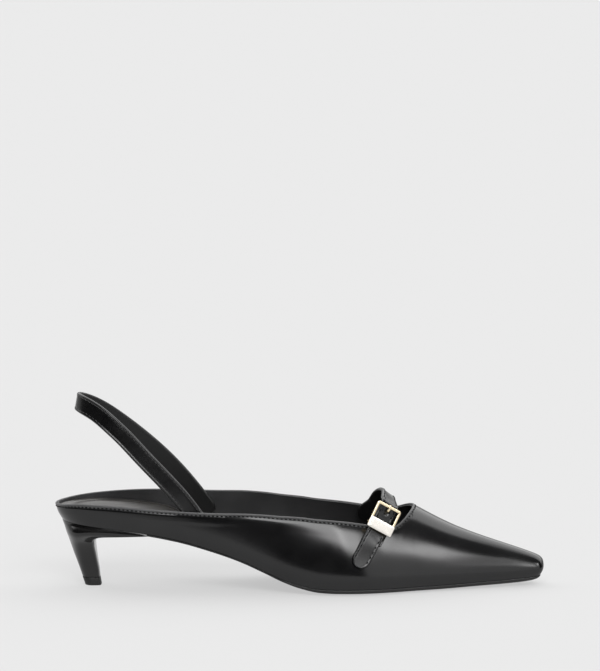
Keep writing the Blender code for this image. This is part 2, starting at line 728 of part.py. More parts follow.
def buckle_axes():
    """The buckle's own frame: its plate's centre, then up along the strap, across and out."""
    up = np.array(BUCKLE_UP)
    up /= np.linalg.norm(up)
    across = np.array(BUCKLE_ACROSS)
    across -= up * across.dot(up)
    across /= np.linalg.norm(across)
    out = np.cross(across, up)
    depth = (BUCKLE_THICKNESS / 2.0 + STRAP_THICKNESS + 2.0 * HINGE_BAR + TAB_THICKNESS
             + 5.0 * TOUCH)
    along, height = side_view(PLATE_CENTRE)
    under, normal = on_skin(OUTER, along, height - TAB_DROP / 2.0, 0.0)
    reach = depth / max(0.5, float(out.dot(normal)))
    centre = np.array([along, under[1] + out[1] * reach, height])
    return centre, up, across, out


def buckle_point(up_run, across_run, out_run):
    centre, up, across, out = buckle_axes()
    return centre + up * up_run + across * across_run + out * out_run


STRAP_DEPTH = BUCKLE_THICKNESS / 2.0 + STRAP_GAP + STRAP_THICKNESS / 2.0
BUCKLE_LOW = -PLATE_LENGTH / 2.0
BUCKLE_TOP = BUCKLE_LOW + BUCKLE_LENGTH
PRONG_AT = BUCKLE_TOP - BUCKLE_TOP_BAR - PRONG_INSET


def instep_strap(finish):
    """Strap from the inner wall over the collar, through the buckle and down on the vamp."""
    lift = STRAP_GAP + STRAP_THICKNESS / 2.0
    tab_end = side_view(STRAP_TAIL[1])[1]
    centre = []
    facing = []
    for place in STRAP_TAIL[::-1]:
        along, height = side_view(place)
        raised = lift + (TAB_THICKNESS + TOUCH) * smooth_step((height - tab_end) / TAB_RAMP)
        spot, normal = on_skin(OUTER, along, height, raised)
        centre.append(spot)
        facing.append(normal)
    out = buckle_axes()[3]
    for run in np.linspace(BUCKLE_LOW, BUCKLE_TOP, 5):
        centre.append(buckle_point(run, 0.0, -STRAP_DEPTH))
        facing.append(out)
    for row in STRAP:
        place = dict(zip(STRAP_COLUMNS, row))
        centre.append(np.array([place["along"] * LENGTH, place["across"] * BALL_WIDTH,
                                place["height"] * STRAP_CREST]))
        turn = math.pi * place["across"]
        facing.append(np.array([place["forward"], math.sin(turn), math.cos(turn)]))
    depth = UPPER_WALL + STRAP_GAP + STRAP_THICKNESS / 2.0
    along, low = side_view(STRAP_INNER_END)
    rim = float(seam_at(along) + rim_at[INNER](run_of(along)))
    for height, spare in ((rim, 3.0), (low, 1.8)):
        spot, normal = in_wall(INNER, along, height, depth + spare * STRAP_GAP)
        centre.append(spot)
        facing.append(normal)
    return band("instep_strap", np.array(centre), np.array(facing), STRAP_WIDTH,
                STRAP_THICKNESS, finish, 46)


def buckle_tab(finish):
    """Short tab on the upper, under the strap, that holds the buckle's bar."""
    lift = TOUCH + TAB_THICKNESS / 2.0
    top = np.array(side_view(PLATE_CENTRE))
    low = np.array(side_view(STRAP_TAIL[0]))
    way = (low - top) / np.linalg.norm(low - top)
    centre = []
    facing = []
    for share in (0.0, 0.33, 0.66, 1.0):
        along, height = top + way * share * TAB_LENGTH
        spot, normal = on_skin(OUTER, along, height - TAB_DROP, lift)
        centre.append(spot)
        facing.append(normal)
    return band("buckle_tab", np.array(centre), np.array(facing), TAB_WIDTH, TAB_THICKNESS,
                finish, 8, (False, False))


def rounded_loop(low, high, half_width, corner, out, turns=4):
    """A rectangle with round corners in the buckle's plane, from its top round to its side."""
    middles = ((high - corner, half_width - corner), (low + corner, half_width - corner),
               (low + corner, corner - half_width), (high - corner, corner - half_width))
    loop = []
    for quarter, (up_run, across_run) in enumerate(middles):
        for turn in np.radians(90.0 * quarter + np.linspace(0.0, 90.0, turns)):
            loop.append(buckle_point(up_run + corner * math.cos(turn),
                                     across_run + corner * math.sin(turn), out))
    return np.array(loop)


def buckle_frame(finish):
    """Slim window frame, its lower bar behind the plate."""
    half = BUCKLE_WIDTH / 2.0
    thick = BUCKLE_THICKNESS / 2.0
    window = (BUCKLE_LOW + BUCKLE_LOW_BAR, BUCKLE_TOP - BUCKLE_TOP_BAR, half - BUCKLE_SIDE_BAR)
    loops = [
        rounded_loop(BUCKLE_LOW, BUCKLE_TOP, half, BUCKLE_CORNER, -thick),
        rounded_loop(BUCKLE_LOW, BUCKLE_TOP, half, BUCKLE_CORNER, thick),
        rounded_loop(*window, BUCKLE_CORNER / 3.0, thick),
        rounded_loop(*window, BUCKLE_CORNER / 3.0, -thick),
    ]
    points, faces = loft(loops + loops[:1], closed_ends=False)
    return solid("buckle_frame", points, faces, finish)


def buckle_plate(finish):
    """Bare plate over the lower end of the frame."""
    low = BUCKLE_LOW - PLATE_OVERLAP
    high = low + PLATE_LENGTH
    half = BUCKLE_WIDTH / 2.0 + PLATE_OVERLAP
    base = BUCKLE_THICKNESS / 2.0 + TOUCH
    edge = 0.15 * PLATE_THICKNESS
    corner = 0.3 * BUCKLE_CORNER
    loops = [
        rounded_loop(low, high, half, corner, base),
        rounded_loop(low, high, half, corner, base + PLATE_THICKNESS - edge),
        rounded_loop(low + edge, high - edge, half - edge, corner, base + PLATE_THICKNESS),
    ]
    points, faces = loft(loops)
    return solid("buckle_plate", points, faces, finish)


def buckle_bar(finish):
    """Staple under the strap that joins the frame's sides and turns on the tab."""
    half = BUCKLE_WIDTH / 2.0
    top = -BUCKLE_THICKNESS / 2.0 - TOUCH
    deep = -STRAP_DEPTH - STRAP_THICKNESS / 2.0 - TOUCH
    outline = ((half, top), (half, deep - HINGE_BAR), (-half, deep - HINGE_BAR), (-half, top),
               (HINGE_BAR - half, top), (HINGE_BAR - half, deep), (half - HINGE_BAR, deep),
               (half - HINGE_BAR, top))
    rings = [np.array([buckle_point(run, across, out) for across, out in outline])
             for run in (-HINGE_BAR / 2.0, HINGE_BAR / 2.0)]
    points, faces = loft(rings)
    return solid("buckle_bar", points, faces, finish)


def buckle_prong(finish):
    """Pin from the bar, up through the strap's hole and over the frame's top bar."""
    under = -STRAP_DEPTH - STRAP_THICKNESS / 2.0 - TOUCH - PRONG_THICKNESS / 2.0
    over = BUCKLE_THICKNESS / 2.0 + TOUCH + PRONG_THICKNESS / 2.0
    route = ((HINGE_BAR / 2.0 + TOUCH, under), (0.45 * PRONG_AT, under),
             (PRONG_AT - PRONG_BEND, under), (PRONG_AT, -STRAP_DEPTH),
             (PRONG_AT + PRONG_BEND, 0.7 * over), (BUCKLE_TOP - BUCKLE_TOP_BAR, over),
             (BUCKLE_TOP + PRONG_OVERHANG, over))
    centre = np.array([buckle_point(run, 0.0, out) for run, out in route])
    legs = np.diff(centre, axis=0)
    across = buckle_axes()[2]
    way = np.vstack((legs[:1], legs[1:] + legs[:-1], legs[-1:]))
    facing = np.cross(across, way)
    facing /= np.linalg.norm(facing, axis=1, keepdims=True)
    return band("buckle_prong", centre, facing, PRONG_WIDTH, PRONG_THICKNESS, finish, 22,
                (False, True))


def cut_prong_hole(strap):
    """Hole for the prong, cut through the strap across its thickness."""
    radius = PRONG_HOLE / 2.0
    deep = STRAP_THICKNESS * 2.0
    rings = []
    for out in (-STRAP_DEPTH - deep, -STRAP_DEPTH + deep):
        turns = np.linspace(0.0, 2.0 * math.pi, 16, endpoint=False)
        rings.append(np.array([buckle_point(PRONG_AT + 1.25 * radius * math.cos(turn),
                                            radius * math.sin(turn), out) for turn in turns]))
    points, faces = loft(rings)
    cutter = solid("prong_hole", points, faces, strap.data.materials[0])
    cutter.hide_render = True
    cutter.display_type = "WIRE"
    cut = strap.modifiers.new("prong_hole", "BOOLEAN")
    cut.operation = "DIFFERENCE"
    cut.solver = "EXACT"
    cut.object = cutter


def main():
    for thing in list(bpy.data.objects):
        bpy.data.objects.remove(thing, do_unlink=True)
    upper(material("upper_leather", (0.012, 0.012, 0.013), 0.28))
    insole(material("lining", (0.035, 0.034, 0.033), 0.62))
    outsole(material("sole", (0.010, 0.010, 0.011), 0.45))
    heel(material("heel_cover", (0.012, 0.012, 0.013), 0.25))
    top_lift(material("top_lift", (0.008, 0.008, 0.008), 0.6))
    sling_strap(material("sling_leather", (0.014, 0.014, 0.015), 0.35))
    strap = instep_strap(material("strap_leather", (0.014, 0.014, 0.015), 0.35))
    cut_prong_hole(strap)
    buckle_tab(material("tab_leather", (0.012, 0.012, 0.013), 0.5))
    buckle_frame(material("frame_metal", (0.86, 0.74, 0.52), 0.22, 1.0))
    buckle_plate(material("plate_metal", (0.88, 0.83, 0.76), 0.25, 1.0))
    buckle_bar(material("bar_metal", (0.80, 0.66, 0.42), 0.3, 1.0))
    buckle_prong(material("prong_metal", (0.86, 0.74, 0.52), 0.22, 1.0))


main()
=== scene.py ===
# Slingback pump, right shoe: the looks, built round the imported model.
# Metres, +X runs to the toe, +Y to the inner side of the foot, +Z up.

import math

import bmesh
import bpy
import numpy as np
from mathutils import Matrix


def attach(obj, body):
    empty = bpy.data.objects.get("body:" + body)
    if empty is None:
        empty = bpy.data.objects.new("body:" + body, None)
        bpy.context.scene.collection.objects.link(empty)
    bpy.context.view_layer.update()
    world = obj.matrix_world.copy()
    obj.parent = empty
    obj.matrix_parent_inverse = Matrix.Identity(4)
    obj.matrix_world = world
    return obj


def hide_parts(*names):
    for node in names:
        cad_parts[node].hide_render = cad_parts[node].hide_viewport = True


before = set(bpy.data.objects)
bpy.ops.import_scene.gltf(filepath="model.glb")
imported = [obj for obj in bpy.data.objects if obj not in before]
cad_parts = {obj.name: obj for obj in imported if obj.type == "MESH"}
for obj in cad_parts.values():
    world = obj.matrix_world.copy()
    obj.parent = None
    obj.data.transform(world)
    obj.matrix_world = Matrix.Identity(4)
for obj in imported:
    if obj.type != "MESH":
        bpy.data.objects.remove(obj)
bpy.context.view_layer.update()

outer = -1
inner = 1
join = np.concatenate

# The last, with the same sizes and shares as the model's source
length = 0.265
touch = 0.0003
last = {
    "ballWidth": 0.0762, "instepRise": 0.04, "rimRise": 0.036, "seatHeight": 0.0348,
    "toeSpring": 0.0052, "tuck": 0.0018, "backTuck": 0.0033, "tuckRise": 0.009,
    "backReach": 0.08 * length, "toeStart": 0.75, "toeReach": 0.21, "toeLess": 0.45,
    "throatStart": 0.664 * length, "throatFront": 0.7315 * length, "throatSquare": 3.2,
    "wall": 0.0016,
    # along, outer and inner half width, ridge, roof, outer and inner rim
    "sections": np.array((
        (0, 0, 0, 1.5, 0, 0.236, 0.236), (0.0049, 0.092, 0.092, 1.5, 0, 0.245, 0.241),
        (0.0181, 0.169, 0.168, 1.5, 0, 0.27, 0.257), (0.0396, 0.236, 0.233, 1.5, 0, 0.307, 0.286),
        (0.0755, 0.297, 0.291, 1.5, 0, 0.337, 0.331), (0.1208, 0.332, 0.322, 1.51, 0, 0.36, 0.383),
        (0.1887, 0.356, 0.333, 1.53, 0, 0.382, 0.461), (0.2642, 0.364, 0.323, 1.56, 0, 0.458, 0.574),
        (0.3396, 0.378, 0.323, 1.57, 0, 0.6, 0.73), (0.4151, 0.409, 0.362, 1.56, 0.02, 0.808, 0.926),
        (0.4906, 0.451, 0.425, 1.53, 0.06, 0.992, 1.078), (0.566, 0.494, 0.484, 1.44, 0.15, 1.012, 1.074),
        (0.634, 0.488, 0.5, 1.29, 0.28, 0.942, 1.014), (0.6943, 0.428, 0.478, 1.13, 0.42, 0.867, 0.981),
        (0.7472, 0.358, 0.415, 0.96, 0.44, 0.847, 0.967), (0.8, 0.294, 0.348, 0.778, 0.38, 0.6, 0.7),
        (0.8528, 0.235, 0.278, 0.624, 0.26, 0.5, 0.5), (0.9057, 0.181, 0.207, 0.492, 0.1, 0.4, 0.4),
        (0.9509, 0.139, 0.151, 0.378, -0.06, 0.3, 0.3), (0.9792, 0.117, 0.121, 0.295, -0.18, 0.2, 0.2),
        (0.9925, 0.1, 0.102, 0.24, -0.25, 0.15, 0.15), (0.9989, 0.071, 0.072, 0.18, -0.25, 0.1, 0.1),
        (1, 0.034, 0.034, 0.1, -0.2, 0.05, 0.05), (1, 0, 0, 0, 0, 0, 0),
    )),
}


def held(value):
    return np.clip(value, 0, 1)


def smoothStep(value):
    value = held(value)
    return value * value * (3 - 2 * value)


def hump(distance, centre, width):
    # a bell of height one
    return np.exp(-((distance - centre) / width) ** 2)


def unit(vectors):
    return vectors / np.linalg.norm(vectors, axis=-1, keepdims=True)


def circle(count):
    return np.linspace(0, 2 * math.pi, count, endpoint=False)


def bunched(count):
    # places from -1 to 1, closer together towards both ends
    return np.sin(np.linspace(-math.pi / 2, math.pi / 2, count))


def cellOf(knots, where):
    # the cell of each place, its width and the share of it that lies behind the place
    where = np.clip(np.asarray(where, float), knots[0], knots[-1])
    cell = np.clip(np.searchsorted(knots, where, side="right") - 1, 0, len(knots) - 2)
    width = np.diff(knots)[cell]
    return cell, width, (where - knots[cell]) / width


def curveThrough(knots, values, flatStart=False, flatEnd=False):
    # cubic pieces whose second derivative runs on unbroken, level at an end where asked
    step = np.diff(knots)
    slope = np.diff(values) / step
    inside = np.arange(1, len(knots) - 1)
    matrix = np.eye(len(knots))
    matrix[inside, inside] = 2 * (step[:-1] + step[1:])
    matrix[inside, inside - 1] = step[:-1]
    matrix[inside, inside + 1] = step[1:]
    right = np.zeros(len(knots))
    right[inside] = 6 * np.diff(slope)
    if flatStart:
        matrix[0, :2] = (2 * step[0], step[0])
        right[0] = 6 * slope[0]
    if flatEnd:
        matrix[-1, -2:] = (step[-1], 2 * step[-1])
        right[-1] = -6 * slope[-1]
    bend = np.linalg.solve(matrix, right)

    def at(where):
        cell, width, ahead = cellOf(knots, where)
        behind = 1 - ahead
        return (behind * values[cell] + ahead * values[cell + 1]
                + ((behind ** 3 - behind) * bend[cell]
                   + (ahead ** 3 - ahead) * bend[cell + 1]) * width ** 2 / 6)

    return at


def steadyThrough(knots, values):
    # cubic pieces that never swing past the values, so level stretches stay level
    step = np.diff(knots)
    slope = np.diff(values) / step
    near = 2 * step[1:] + step[:-1]
    far = step[1:] + 2 * step[:-1]
    both = slope[:-1] * slope[1:]
    safe = np.where(both > 0, both, 1)
    mean = (near + far) * safe / np.where(both > 0, near * slope[1:] + far * slope[:-1], 1)
    tangent = join((slope[:1], np.where(both > 0, mean, 0), slope[-1:]))

    def at(where):
        cell, width, share = cellOf(knots, where)
        return (values[cell] * (1 + 2 * share) * (1 - share) ** 2
                + tangent[cell] * width * share * (1 - share) ** 2
                + values[cell + 1] * share ** 2 * (3 - 2 * share)
                + tangent[cell + 1] * width * share ** 2 * (share - 1))

    return at


sections = last["sections"]
legs = np.hypot(np.diff(sections[:, 0]) * length,
                np.diff(sections[:, 1] + sections[:, 2]) * last["ballWidth"] / 2)
knots = join(([0], np.cumsum(legs))) / legs.sum()
alongAt = curveThrough(knots, sections[:, 0] * length, True, True)
wideAt = {outer: curveThrough(knots, sections[:, 1] * last["ballWidth"]),
          inner: curveThrough(knots, sections[:, 2] * last["ballWidth"])}
ridgeAt = curveThrough(knots, sections[:, 3] * last["instepRise"], True)
roofAt = curveThrough(knots, sections[:, 4], True)
rimAt = {outer: curveThrough(knots, sections[:, 5] * last["rimRise"], True),
         inner: curveThrough(knots, sections[:, 6] * last["rimRise"], True)}

# along, arch, spring, thickness of the sole
soleRows = np.array((
    (0, 1, 0, 0.576), (0.079, 0.95, 0, 0.576), (0.17, 0.88, 0, 0.576),
    (0.249, 0.772, 0, 0.576), (0.313, 0.637, 0, 0.56), (0.377, 0.471, 0, 0.56),
    (0.426, 0.307, 0, 0.576), (0.464, 0.17, 0, 0.667), (0.5, 0.07, 0, 0.879),
    (0.54, 0.01, 0, 0.97), (0.574, 0, 0, 1), (0.774, 0, 0, 1),
    (0.868, 0, 0.12, 0.97), (0.943, 0, 0.3, 0.92), (0.974, 0, 0.48, 0.82),
    (0.989, 0, 0.68, 0.64), (1, 0, 0.85, 0.52),
))
soleThickness = 0.0033
soleCrown = 0.33
soleLowAt = steadyThrough(soleRows[:, 0] * length, soleRows[:, 1] * last["seatHeight"]
                          + soleRows[:, 2] * last["toeSpring"])
soleThickAt = steadyThrough(soleRows[:, 0] * length, soleRows[:, 3] * soleThickness)
fineRuns = np.linspace(0, 1, 4001)
middleY = (wideAt[inner](fineRuns).max() - wideAt[outer](fineRuns).max()) / 2


def runOf(along):
    return np.interp(along, alongAt(fineRuns), fineRuns)


def seamAt(along):
    return soleLowAt(along) + soleThickAt(along)


def planNormal(side, run):
    # outward normal of the outline seen from above: forward part, part away from the middle
    low = held(run - 1e-4)
    high = held(run + 1e-4)
    forward = np.where((run <= 0) | (run >= 1), 0, alongAt(high) - alongAt(low))
    outward = wideAt[side](high) - wideAt[side](low)
    size = np.hypot(forward, outward)
    return -outward / size, forward / size


def sineOf(run, rise):
    # sine of the section angle at which the skin stands so far over the seam
    share = held(rise / np.maximum(ridgeAt(run), 1e-6))
    roof = roofAt(run)
    root = np.sqrt(np.maximum((1 - roof) ** 2 + 4 * roof * share, 0))
    return held(2 * share / (1 - roof + root))


def skin(side, run, angle):
    # half an arch: across = half width * cos(angle), rise = ridge * blend of sin and sin squared,
    # drawn in towards the seam
    run = np.asarray(run, float)
    along = alongAt(run)
    sine = np.sin(angle)
    roof = roofAt(run)
    rise = ridgeAt(run) * ((1 - roof) * sine + roof * sine ** 2)
    back = held(1 - along / last["backReach"]) ** 2
    depth = last["tuck"] + (last["backTuck"] - last["tuck"]) * back
    toe = smoothStep((along / length - last["toeStart"]) / last["toeReach"])
    reach = last["tuckRise"] * (1 - last["toeLess"] * toe)
    tuck = depth * held(1 - rise / reach) ** 2
    ahead, outward = planNormal(side, run)
    across = (wideAt[side](run) - tuck * outward) * np.cos(angle)
    return np.stack([along - tuck * ahead, side * across, seamAt(along) + rise], axis=-1)


def skinNormal(side, run, angle):
    # cross product of the skin's two directions, level near the seam
    step = 1e-4
    inside = np.clip(run, 0, 1 - 2 * step)
    low = held(inside - step)
    lengthways = skin(side, inside + step, angle) - skin(side, low, angle)
    upwards = skin(side, inside, angle + step) - skin(side, inside, angle - step)
    normal = np.cross(lengthways, upwards) * -side
    normal = normal / np.maximum(np.linalg.norm(normal, axis=-1, keepdims=True), 1e-12)
    rise = skin(side, inside, angle)[..., 2] - seamAt(alongAt(inside))
    level = smoothStep(rise / (0.5 * last["tuckRise"]))
    normal[..., 2] = np.where(normal[..., 2] < 0, normal[..., 2] * level, normal[..., 2])
    normal[..., 1] = np.where(run <= 0, 0, normal[..., 1])
    normal[np.broadcast_to(np.asarray(run) >= 1, normal.shape[:-1])] = (1, 0, 0)
    return unit(normal)


def rimAngle(side, run):
    # section angle of the topline, closing to the ridge in a round U over the throat
    sine = sineOf(run, rimAt[side](run))
    share = held((alongAt(run) - last["throatStart"])
                    / (last["throatFront"] - last["throatStart"]))
    closing = np.where(share > 0.9999, 0, np.sqrt(1 - share ** last["throatSquare"]))
    return np.arccos(np.sqrt(1 - sine ** 2) * closing)


def onSkin(side, along, height, lift=0):
    # a point over the upper's face and its outward normal, from its place in the side view
    run = runOf(along)
    angle = np.arcsin(sineOf(run, height - seamAt(along)))
    normal = skinNormal(side, run, angle)
    return skin(side, run, angle) + normal * np.asarray(lift)[..., None], normal


# Meshes from arrays
def sheetFaces(rows, columns, wrapRows=False, wrapColumns=False):
    row = np.arange(rows if wrapRows else rows - 1)[:, None]
    column = np.arange(columns if wrapColumns else columns - 1)[None, :]
    nextRow = (row + 1) % rows
    nextColumn = (column + 1) % columns
    corners = (row * columns + column, row * columns + nextColumn,
               nextRow * columns + nextColumn, nextRow * columns + column)
    faces = np.stack([corner + 0 * row + 0 * column for corner in corners], axis=-1)
    return faces.reshape(-1, 4)


def sheet(points, wrapRows=False, wrapColumns=False, marks=None):
    # one grid of points as a part of a piece, with a value a point for its finish
    rows, columns = points.shape[:2]
    marks = np.zeros((rows, columns)) if marks is None else marks
    return (points.reshape(-1, 3), sheetFaces(rows, columns, wrapRows, wrapColumns),
            marks.reshape(-1))


def closeEnds(rings):
    # each end of a tube drawn together in its middle
    first = np.broadcast_to(rings[0].mean(axis=0), rings[0].shape)
    final = np.broadcast_to(rings[-1].mean(axis=0), rings[-1].shape)
    return join((first[None], rings, final[None]))


def slab(low, high, strips):
    # two faces joined by the strips at their sides, each end drawn together in its middle
    ring = join((low, strips[inner][1:-1], high[::-1], strips[outer][1:-1][::-1]))
    return [sheet(closeEnds(ring.swapaxes(0, 1)).swapaxes(0, 1), wrapRows=True)]


def acrossFrom(strips, row, share):
    # straight lines from the outer side's strip to the inner side's
    return strips[outer][row] + (strips[inner][row] - strips[outer][row]) * share


def piece(name, parts, finish, nodes=()):
    # parts joined to one mesh on the shoe's own frame, doubles merged, faces outward
    starts = np.cumsum([0] + [len(points) for points, faces, marks in parts])
    points = join([points for points, faces, marks in parts])
    faces = join([faces + start for (_, faces, _), start in zip(parts, starts)])
    marks = join([marks for points, faces, marks in parts])
    mesh = bpy.data.meshes.new(name)
    mesh.from_pydata((points - (length / 2, middleY, 0)).tolist(), [], faces.tolist())
    mesh.attributes.new("mark", "FLOAT", "POINT").data.foreach_set("value", marks)
    body = bmesh.new()
    body.from_mesh(mesh)
    bmesh.ops.remove_doubles(body, verts=body.verts, dist=2e-6)
    bmesh.ops.dissolve_degenerate(body, edges=body.edges, dist=1e-7)
    bmesh.ops.recalc_face_normals(body, faces=body.faces)
    if body.calc_volume(signed=True) < 0:
        bmesh.ops.reverse_faces(body, faces=body.faces)
    body.to_mesh(mesh)
    body.free()
    mesh.shade_smooth()
    mesh.set_sharp_from_angle(angle=math.radians(40))
    made = bpy.data.objects.new(name, mesh)
    bpy.context.collection.objects.link(made)
    mesh.materials.append(finish)
    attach(made, "root")
    if nodes:
        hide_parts(*nodes)
    print(name, len(mesh.polygons), "faces")


def pathLength(points):
    return join(([0], np.cumsum(np.linalg.norm(np.diff(points, axis=0), axis=1))))


def evenly(points, normals, pitch, start=0, finish=0):
    # places along a path at an even pitch: point, way and outward normal of each
    run = pathLength(points)
    where = np.arange(start, run[-1] - finish, pitch)
    at = [np.stack([np.interp(where + shift, run, points[:, axis]) for axis in range(3)], axis=-1)
          for shift in (-0.25 * pitch, 0, 0.25 * pitch)]
    way = unit(at[2] - at[0])
    normal = np.stack([np.interp(where, run, normals[:, axis]) for axis in range(3)], axis=-1)
    normal -= way * (normal * way).sum(axis=1, keepdims=True)
    return at[1], way, unit(normal)


def stitchRow(points, normals, look, start=0, finish=0):
    # one small thread a place: a spindle along the row, thread * sqrt(1 - share^4) thick, both
    # ends drawn down into the leather
    spot, way, normal = evenly(points, normals, look["pitch"], start, finish)
    share = bunched(7)
    turn = circle(6)
    thick = look["thread"] * np.sqrt(np.maximum(1 - share ** 4, 0))
    side = np.cross(normal, way)
    sink = -look["thread"] * 1.2 * share ** 2
    grid = (spot[:, None, None] + way[:, None, None] * (look["dash"] / 2 * share)[:, None, None]
            + side[:, None, None] * (thick[:, None] * np.cos(turn))[..., None]
            + normal[:, None, None] * (thick[:, None] * np.sin(turn) + sink[:, None])[..., None])
    faces = sheetFaces(len(share), len(turn), wrapColumns=True)
    starts = np.arange(len(spot)) * len(share) * len(turn)
    faces = (faces[None] + starts[:, None, None]).reshape(-1, 4)
    return grid.reshape(-1, 3), faces, np.zeros(grid.size // 3)


def nearest(points, path):
    # distance of each point from a path of straight legs
    start = path[:-1]
    leg = path[1:] - start
    size = np.maximum((leg ** 2).sum(axis=1), 1e-18)
    flat = points.reshape(-1, 3)
    found = np.ones(len(flat))
    for part in range(0, len(flat), 4000):
        away = flat[part:part + 4000, None] - start
        share = held((away * leg).sum(axis=2) / size)
        gap = np.linalg.norm(away - share[..., None] * leg, axis=2)
        found[part:part + 4000] = gap.min(axis=1)
    return found.reshape(points.shape[:-1])


# Shader sockets as values
class Wire:
    def __init__(self, tree, socket=None):
        self.tree = tree
        self.socket = socket

    def node(self, kind, settings=None, values=None, out=0):
        # any node: its settings first, then the values or links of its sockets
        made = self.tree.nodes.new(kind)
        for name, value in (settings or {}).items():
            setattr(made, name, value)
        for name, value in (values or {}).items():
            if isinstance(value, Wire):
                self.tree.links.new(value.socket, made.inputs[name])
            else:
                made.inputs[name].default_value = value
        return Wire(self.tree, made.outputs[out])

    def math(self, kind, first, second=0):
        return self.node("ShaderNodeMath", {"operation": kind}, {0: first, 1: second})

    def __add__(self, other):
        return self.math("ADD", self, other)

    def __radd__(self, other):
        return self.math("ADD", other, self)

    def __sub__(self, other):
        return self.math("SUBTRACT", self, other)

    def __rsub__(self, other):
        return self.math("SUBTRACT", other, self)

    def __mul__(self, other):
        return self.math("MULTIPLY", self, other)

    def __rmul__(self, other):
        return self.math("MULTIPLY", other, self)

    def step(self, low, high):
        # a soft step from 0 at low to 1 at high
        return self.node("ShaderNodeMapRange", {"interpolation_type": "SMOOTHSTEP"},
                         {"Value": self, "From Min": low, "From Max": high})

    def blend(self, first, second):
        # two colours mixed by this mask, each three numbers or a wire
        first, second = (value if isinstance(value, Wire) else (*value, 1)
                         for value in (first, second))
        return self.node("ShaderNodeMix", {"data_type": "RGBA"}, {0: self, 6: first, 7: second}, 2)


def finish(name, fixed):
    # a new material: its shader, its tree as a wire and its object coordinates
    made = bpy.data.materials.new(name)
    made.use_nodes = True
    shader = made.node_tree.nodes["Principled BSDF"]
    for socket, value in fixed.items():
        shader.inputs[socket].default_value = value
    wire = Wire(made.node_tree)
    place = wire.node("ShaderNodeTexCoord", out=3)
    return made, shader, wire, place


def feed(shader, wire, **links):
    for name, value in links.items():
        socket = shader.inputs[{"colour": "Base Color", "rough": "Roughness",
                                "normal": "Normal"}[name]]
        wire.tree.links.new(value.socket, socket)


def noise(wire, place, scale, detail):
    return wire.node("ShaderNodeTexNoise", {}, {"Vector": place, "Scale": scale, "Detail": detail})


def leather(name, dark, light, gloss, grain, fixed=None, edgeSheenAndUnderside=None):
    # two near tones in soft clouds, small round cells as grain, gloss that wanders; duller and in
    # another tone where the mark says so: a lighter painted highlight at a folded edge, or an underside's
    # own tone
    made, shader, wire, place = finish(name, fixed or {})
    cells, strength, depth = grain
    cloud = noise(wire, place, 55, 3)
    pores = wire.node("ShaderNodeTexVoronoi", {"feature": "SMOOTH_F1"},
                      {"Vector": place, "Scale": cells, "Smoothness": 0.6})
    height = pores * 0.7 + noise(wire, place, cells * 2.6, 3) * 0.5
    bump = wire.node("ShaderNodeBump", {}, {"Strength": strength, "Distance": depth,
                                            "Height": height})
    rough = cloud.step(0.3, 0.7) * (gloss[1] - gloss[0]) + gloss[0] + (1 - pores) * 0.03
    colour = cloud.step(0.35, 0.65).blend(dark, light)
    if edgeSheenAndUnderside:
        mark = wire.node("ShaderNodeAttribute", {"attribute_name": "mark"}, {}, 2)
        # at the calf's folded edge this tone is a painted highlight; on a strap's underside it is that
        # side's own tone
        mask = mark.step(*edgeSheenAndUnderside["marks"])
        rough = rough + mask * edgeSheenAndUnderside["rough"]
        colour = mask.blend(colour, edgeSheenAndUnderside["tone"])
    feed(shader, wire, colour=colour, rough=rough, normal=bump)
    return made


# dark and light tone, gloss from and to, then the grain's cells in a metre, strength and depth
# the calf's lighter tone within about 2 mm of the topline is a painted highlight of the folded edge
# catching light, the roughness there raised as well
calf = leather("blackCalf", (0.0035, 0.0035, 0.0038), (0.0055, 0.0055, 0.0058), (0.13, 0.17),
               (1700, 0.04, 0.0001),
               edgeSheenAndUnderside={"marks": (0.0024, 0.0014), "rough": 0.24, "tone": (0.055, 0.055, 0.056)})
strapCalf = leather("strapCalf", (0.0016, 0.0016, 0.0018), (0.0026, 0.0026, 0.0028),
                    (0.2, 0.26), (1900, 0.08, 0.0001),
                    edgeSheenAndUnderside={"marks": (0.4, 0.6), "rough": 0.25, "tone": (0.005, 0.005, 0.005)})
heelCalf = leather("heelCover", (0.0045, 0.0043, 0.0043), (0.007, 0.0066, 0.0064),
                   (0.13, 0.17), (1700, 0.04, 0.0001))
liningSkin = leather("liningSkin", (0.032, 0.032, 0.033), (0.042, 0.042, 0.043),
                     (0.4, 0.5), (1500, 0.2, 0.0002))
sockSkin = leather("heelSock", (0.03, 0.028, 0.026), (0.042, 0.039, 0.036),
                   (0.26, 0.34), (1300, 0.12, 0.0002))
soleSkin = leather("blackSole", (0.005, 0.005, 0.005), (0.008, 0.008, 0.008),
                   (0.42, 0.55), (1200, 0.3, 0.0005))
liftRubber = leather("topLiftRubber", (0.003, 0.003, 0.003), (0.005, 0.005, 0.005),
                     (0.55, 0.65), (2200, 0.4, 0.0004))
thread = leather("blackThread", (0.001, 0.001, 0.001), (0.002, 0.002, 0.002),
                 (0.6, 0.7), (5000, 0.5, 0.0002), {"Specular IOR Level": 0.12})
# the sling's thread is the same black thread painted lighter: a painted highlight for light caught on the
# threads' round surfaces
slingThreadPaintedSheen = leather("slingThreadPaintedSheen", (0.03, 0.03, 0.031), (0.045, 0.045, 0.046),
                      (0.4, 0.5), (5000, 0.5, 0.0002))


def metal(name, dark, light, gloss):
    # plated metal: soft clouds in tone and gloss, and the finest brush marks along the shoe
    made, shader, wire, place = finish(name, {"Metallic": 1})
    cloud = noise(wire, place, 260, 1)
    drawn = wire.node("ShaderNodeMapping", {}, {"Vector": place, "Scale": (300, 2600, 2600)})
    bump = wire.node("ShaderNodeBump", {}, {"Strength": 0.03, "Distance": 0.0001,
                                            "Height": noise(wire, drawn, 1, 2)})
    feed(shader, wire, colour=cloud.blend(dark, light),
         rough=cloud * (gloss[1] - gloss[0]) + gloss[0], normal=bump)
    return made


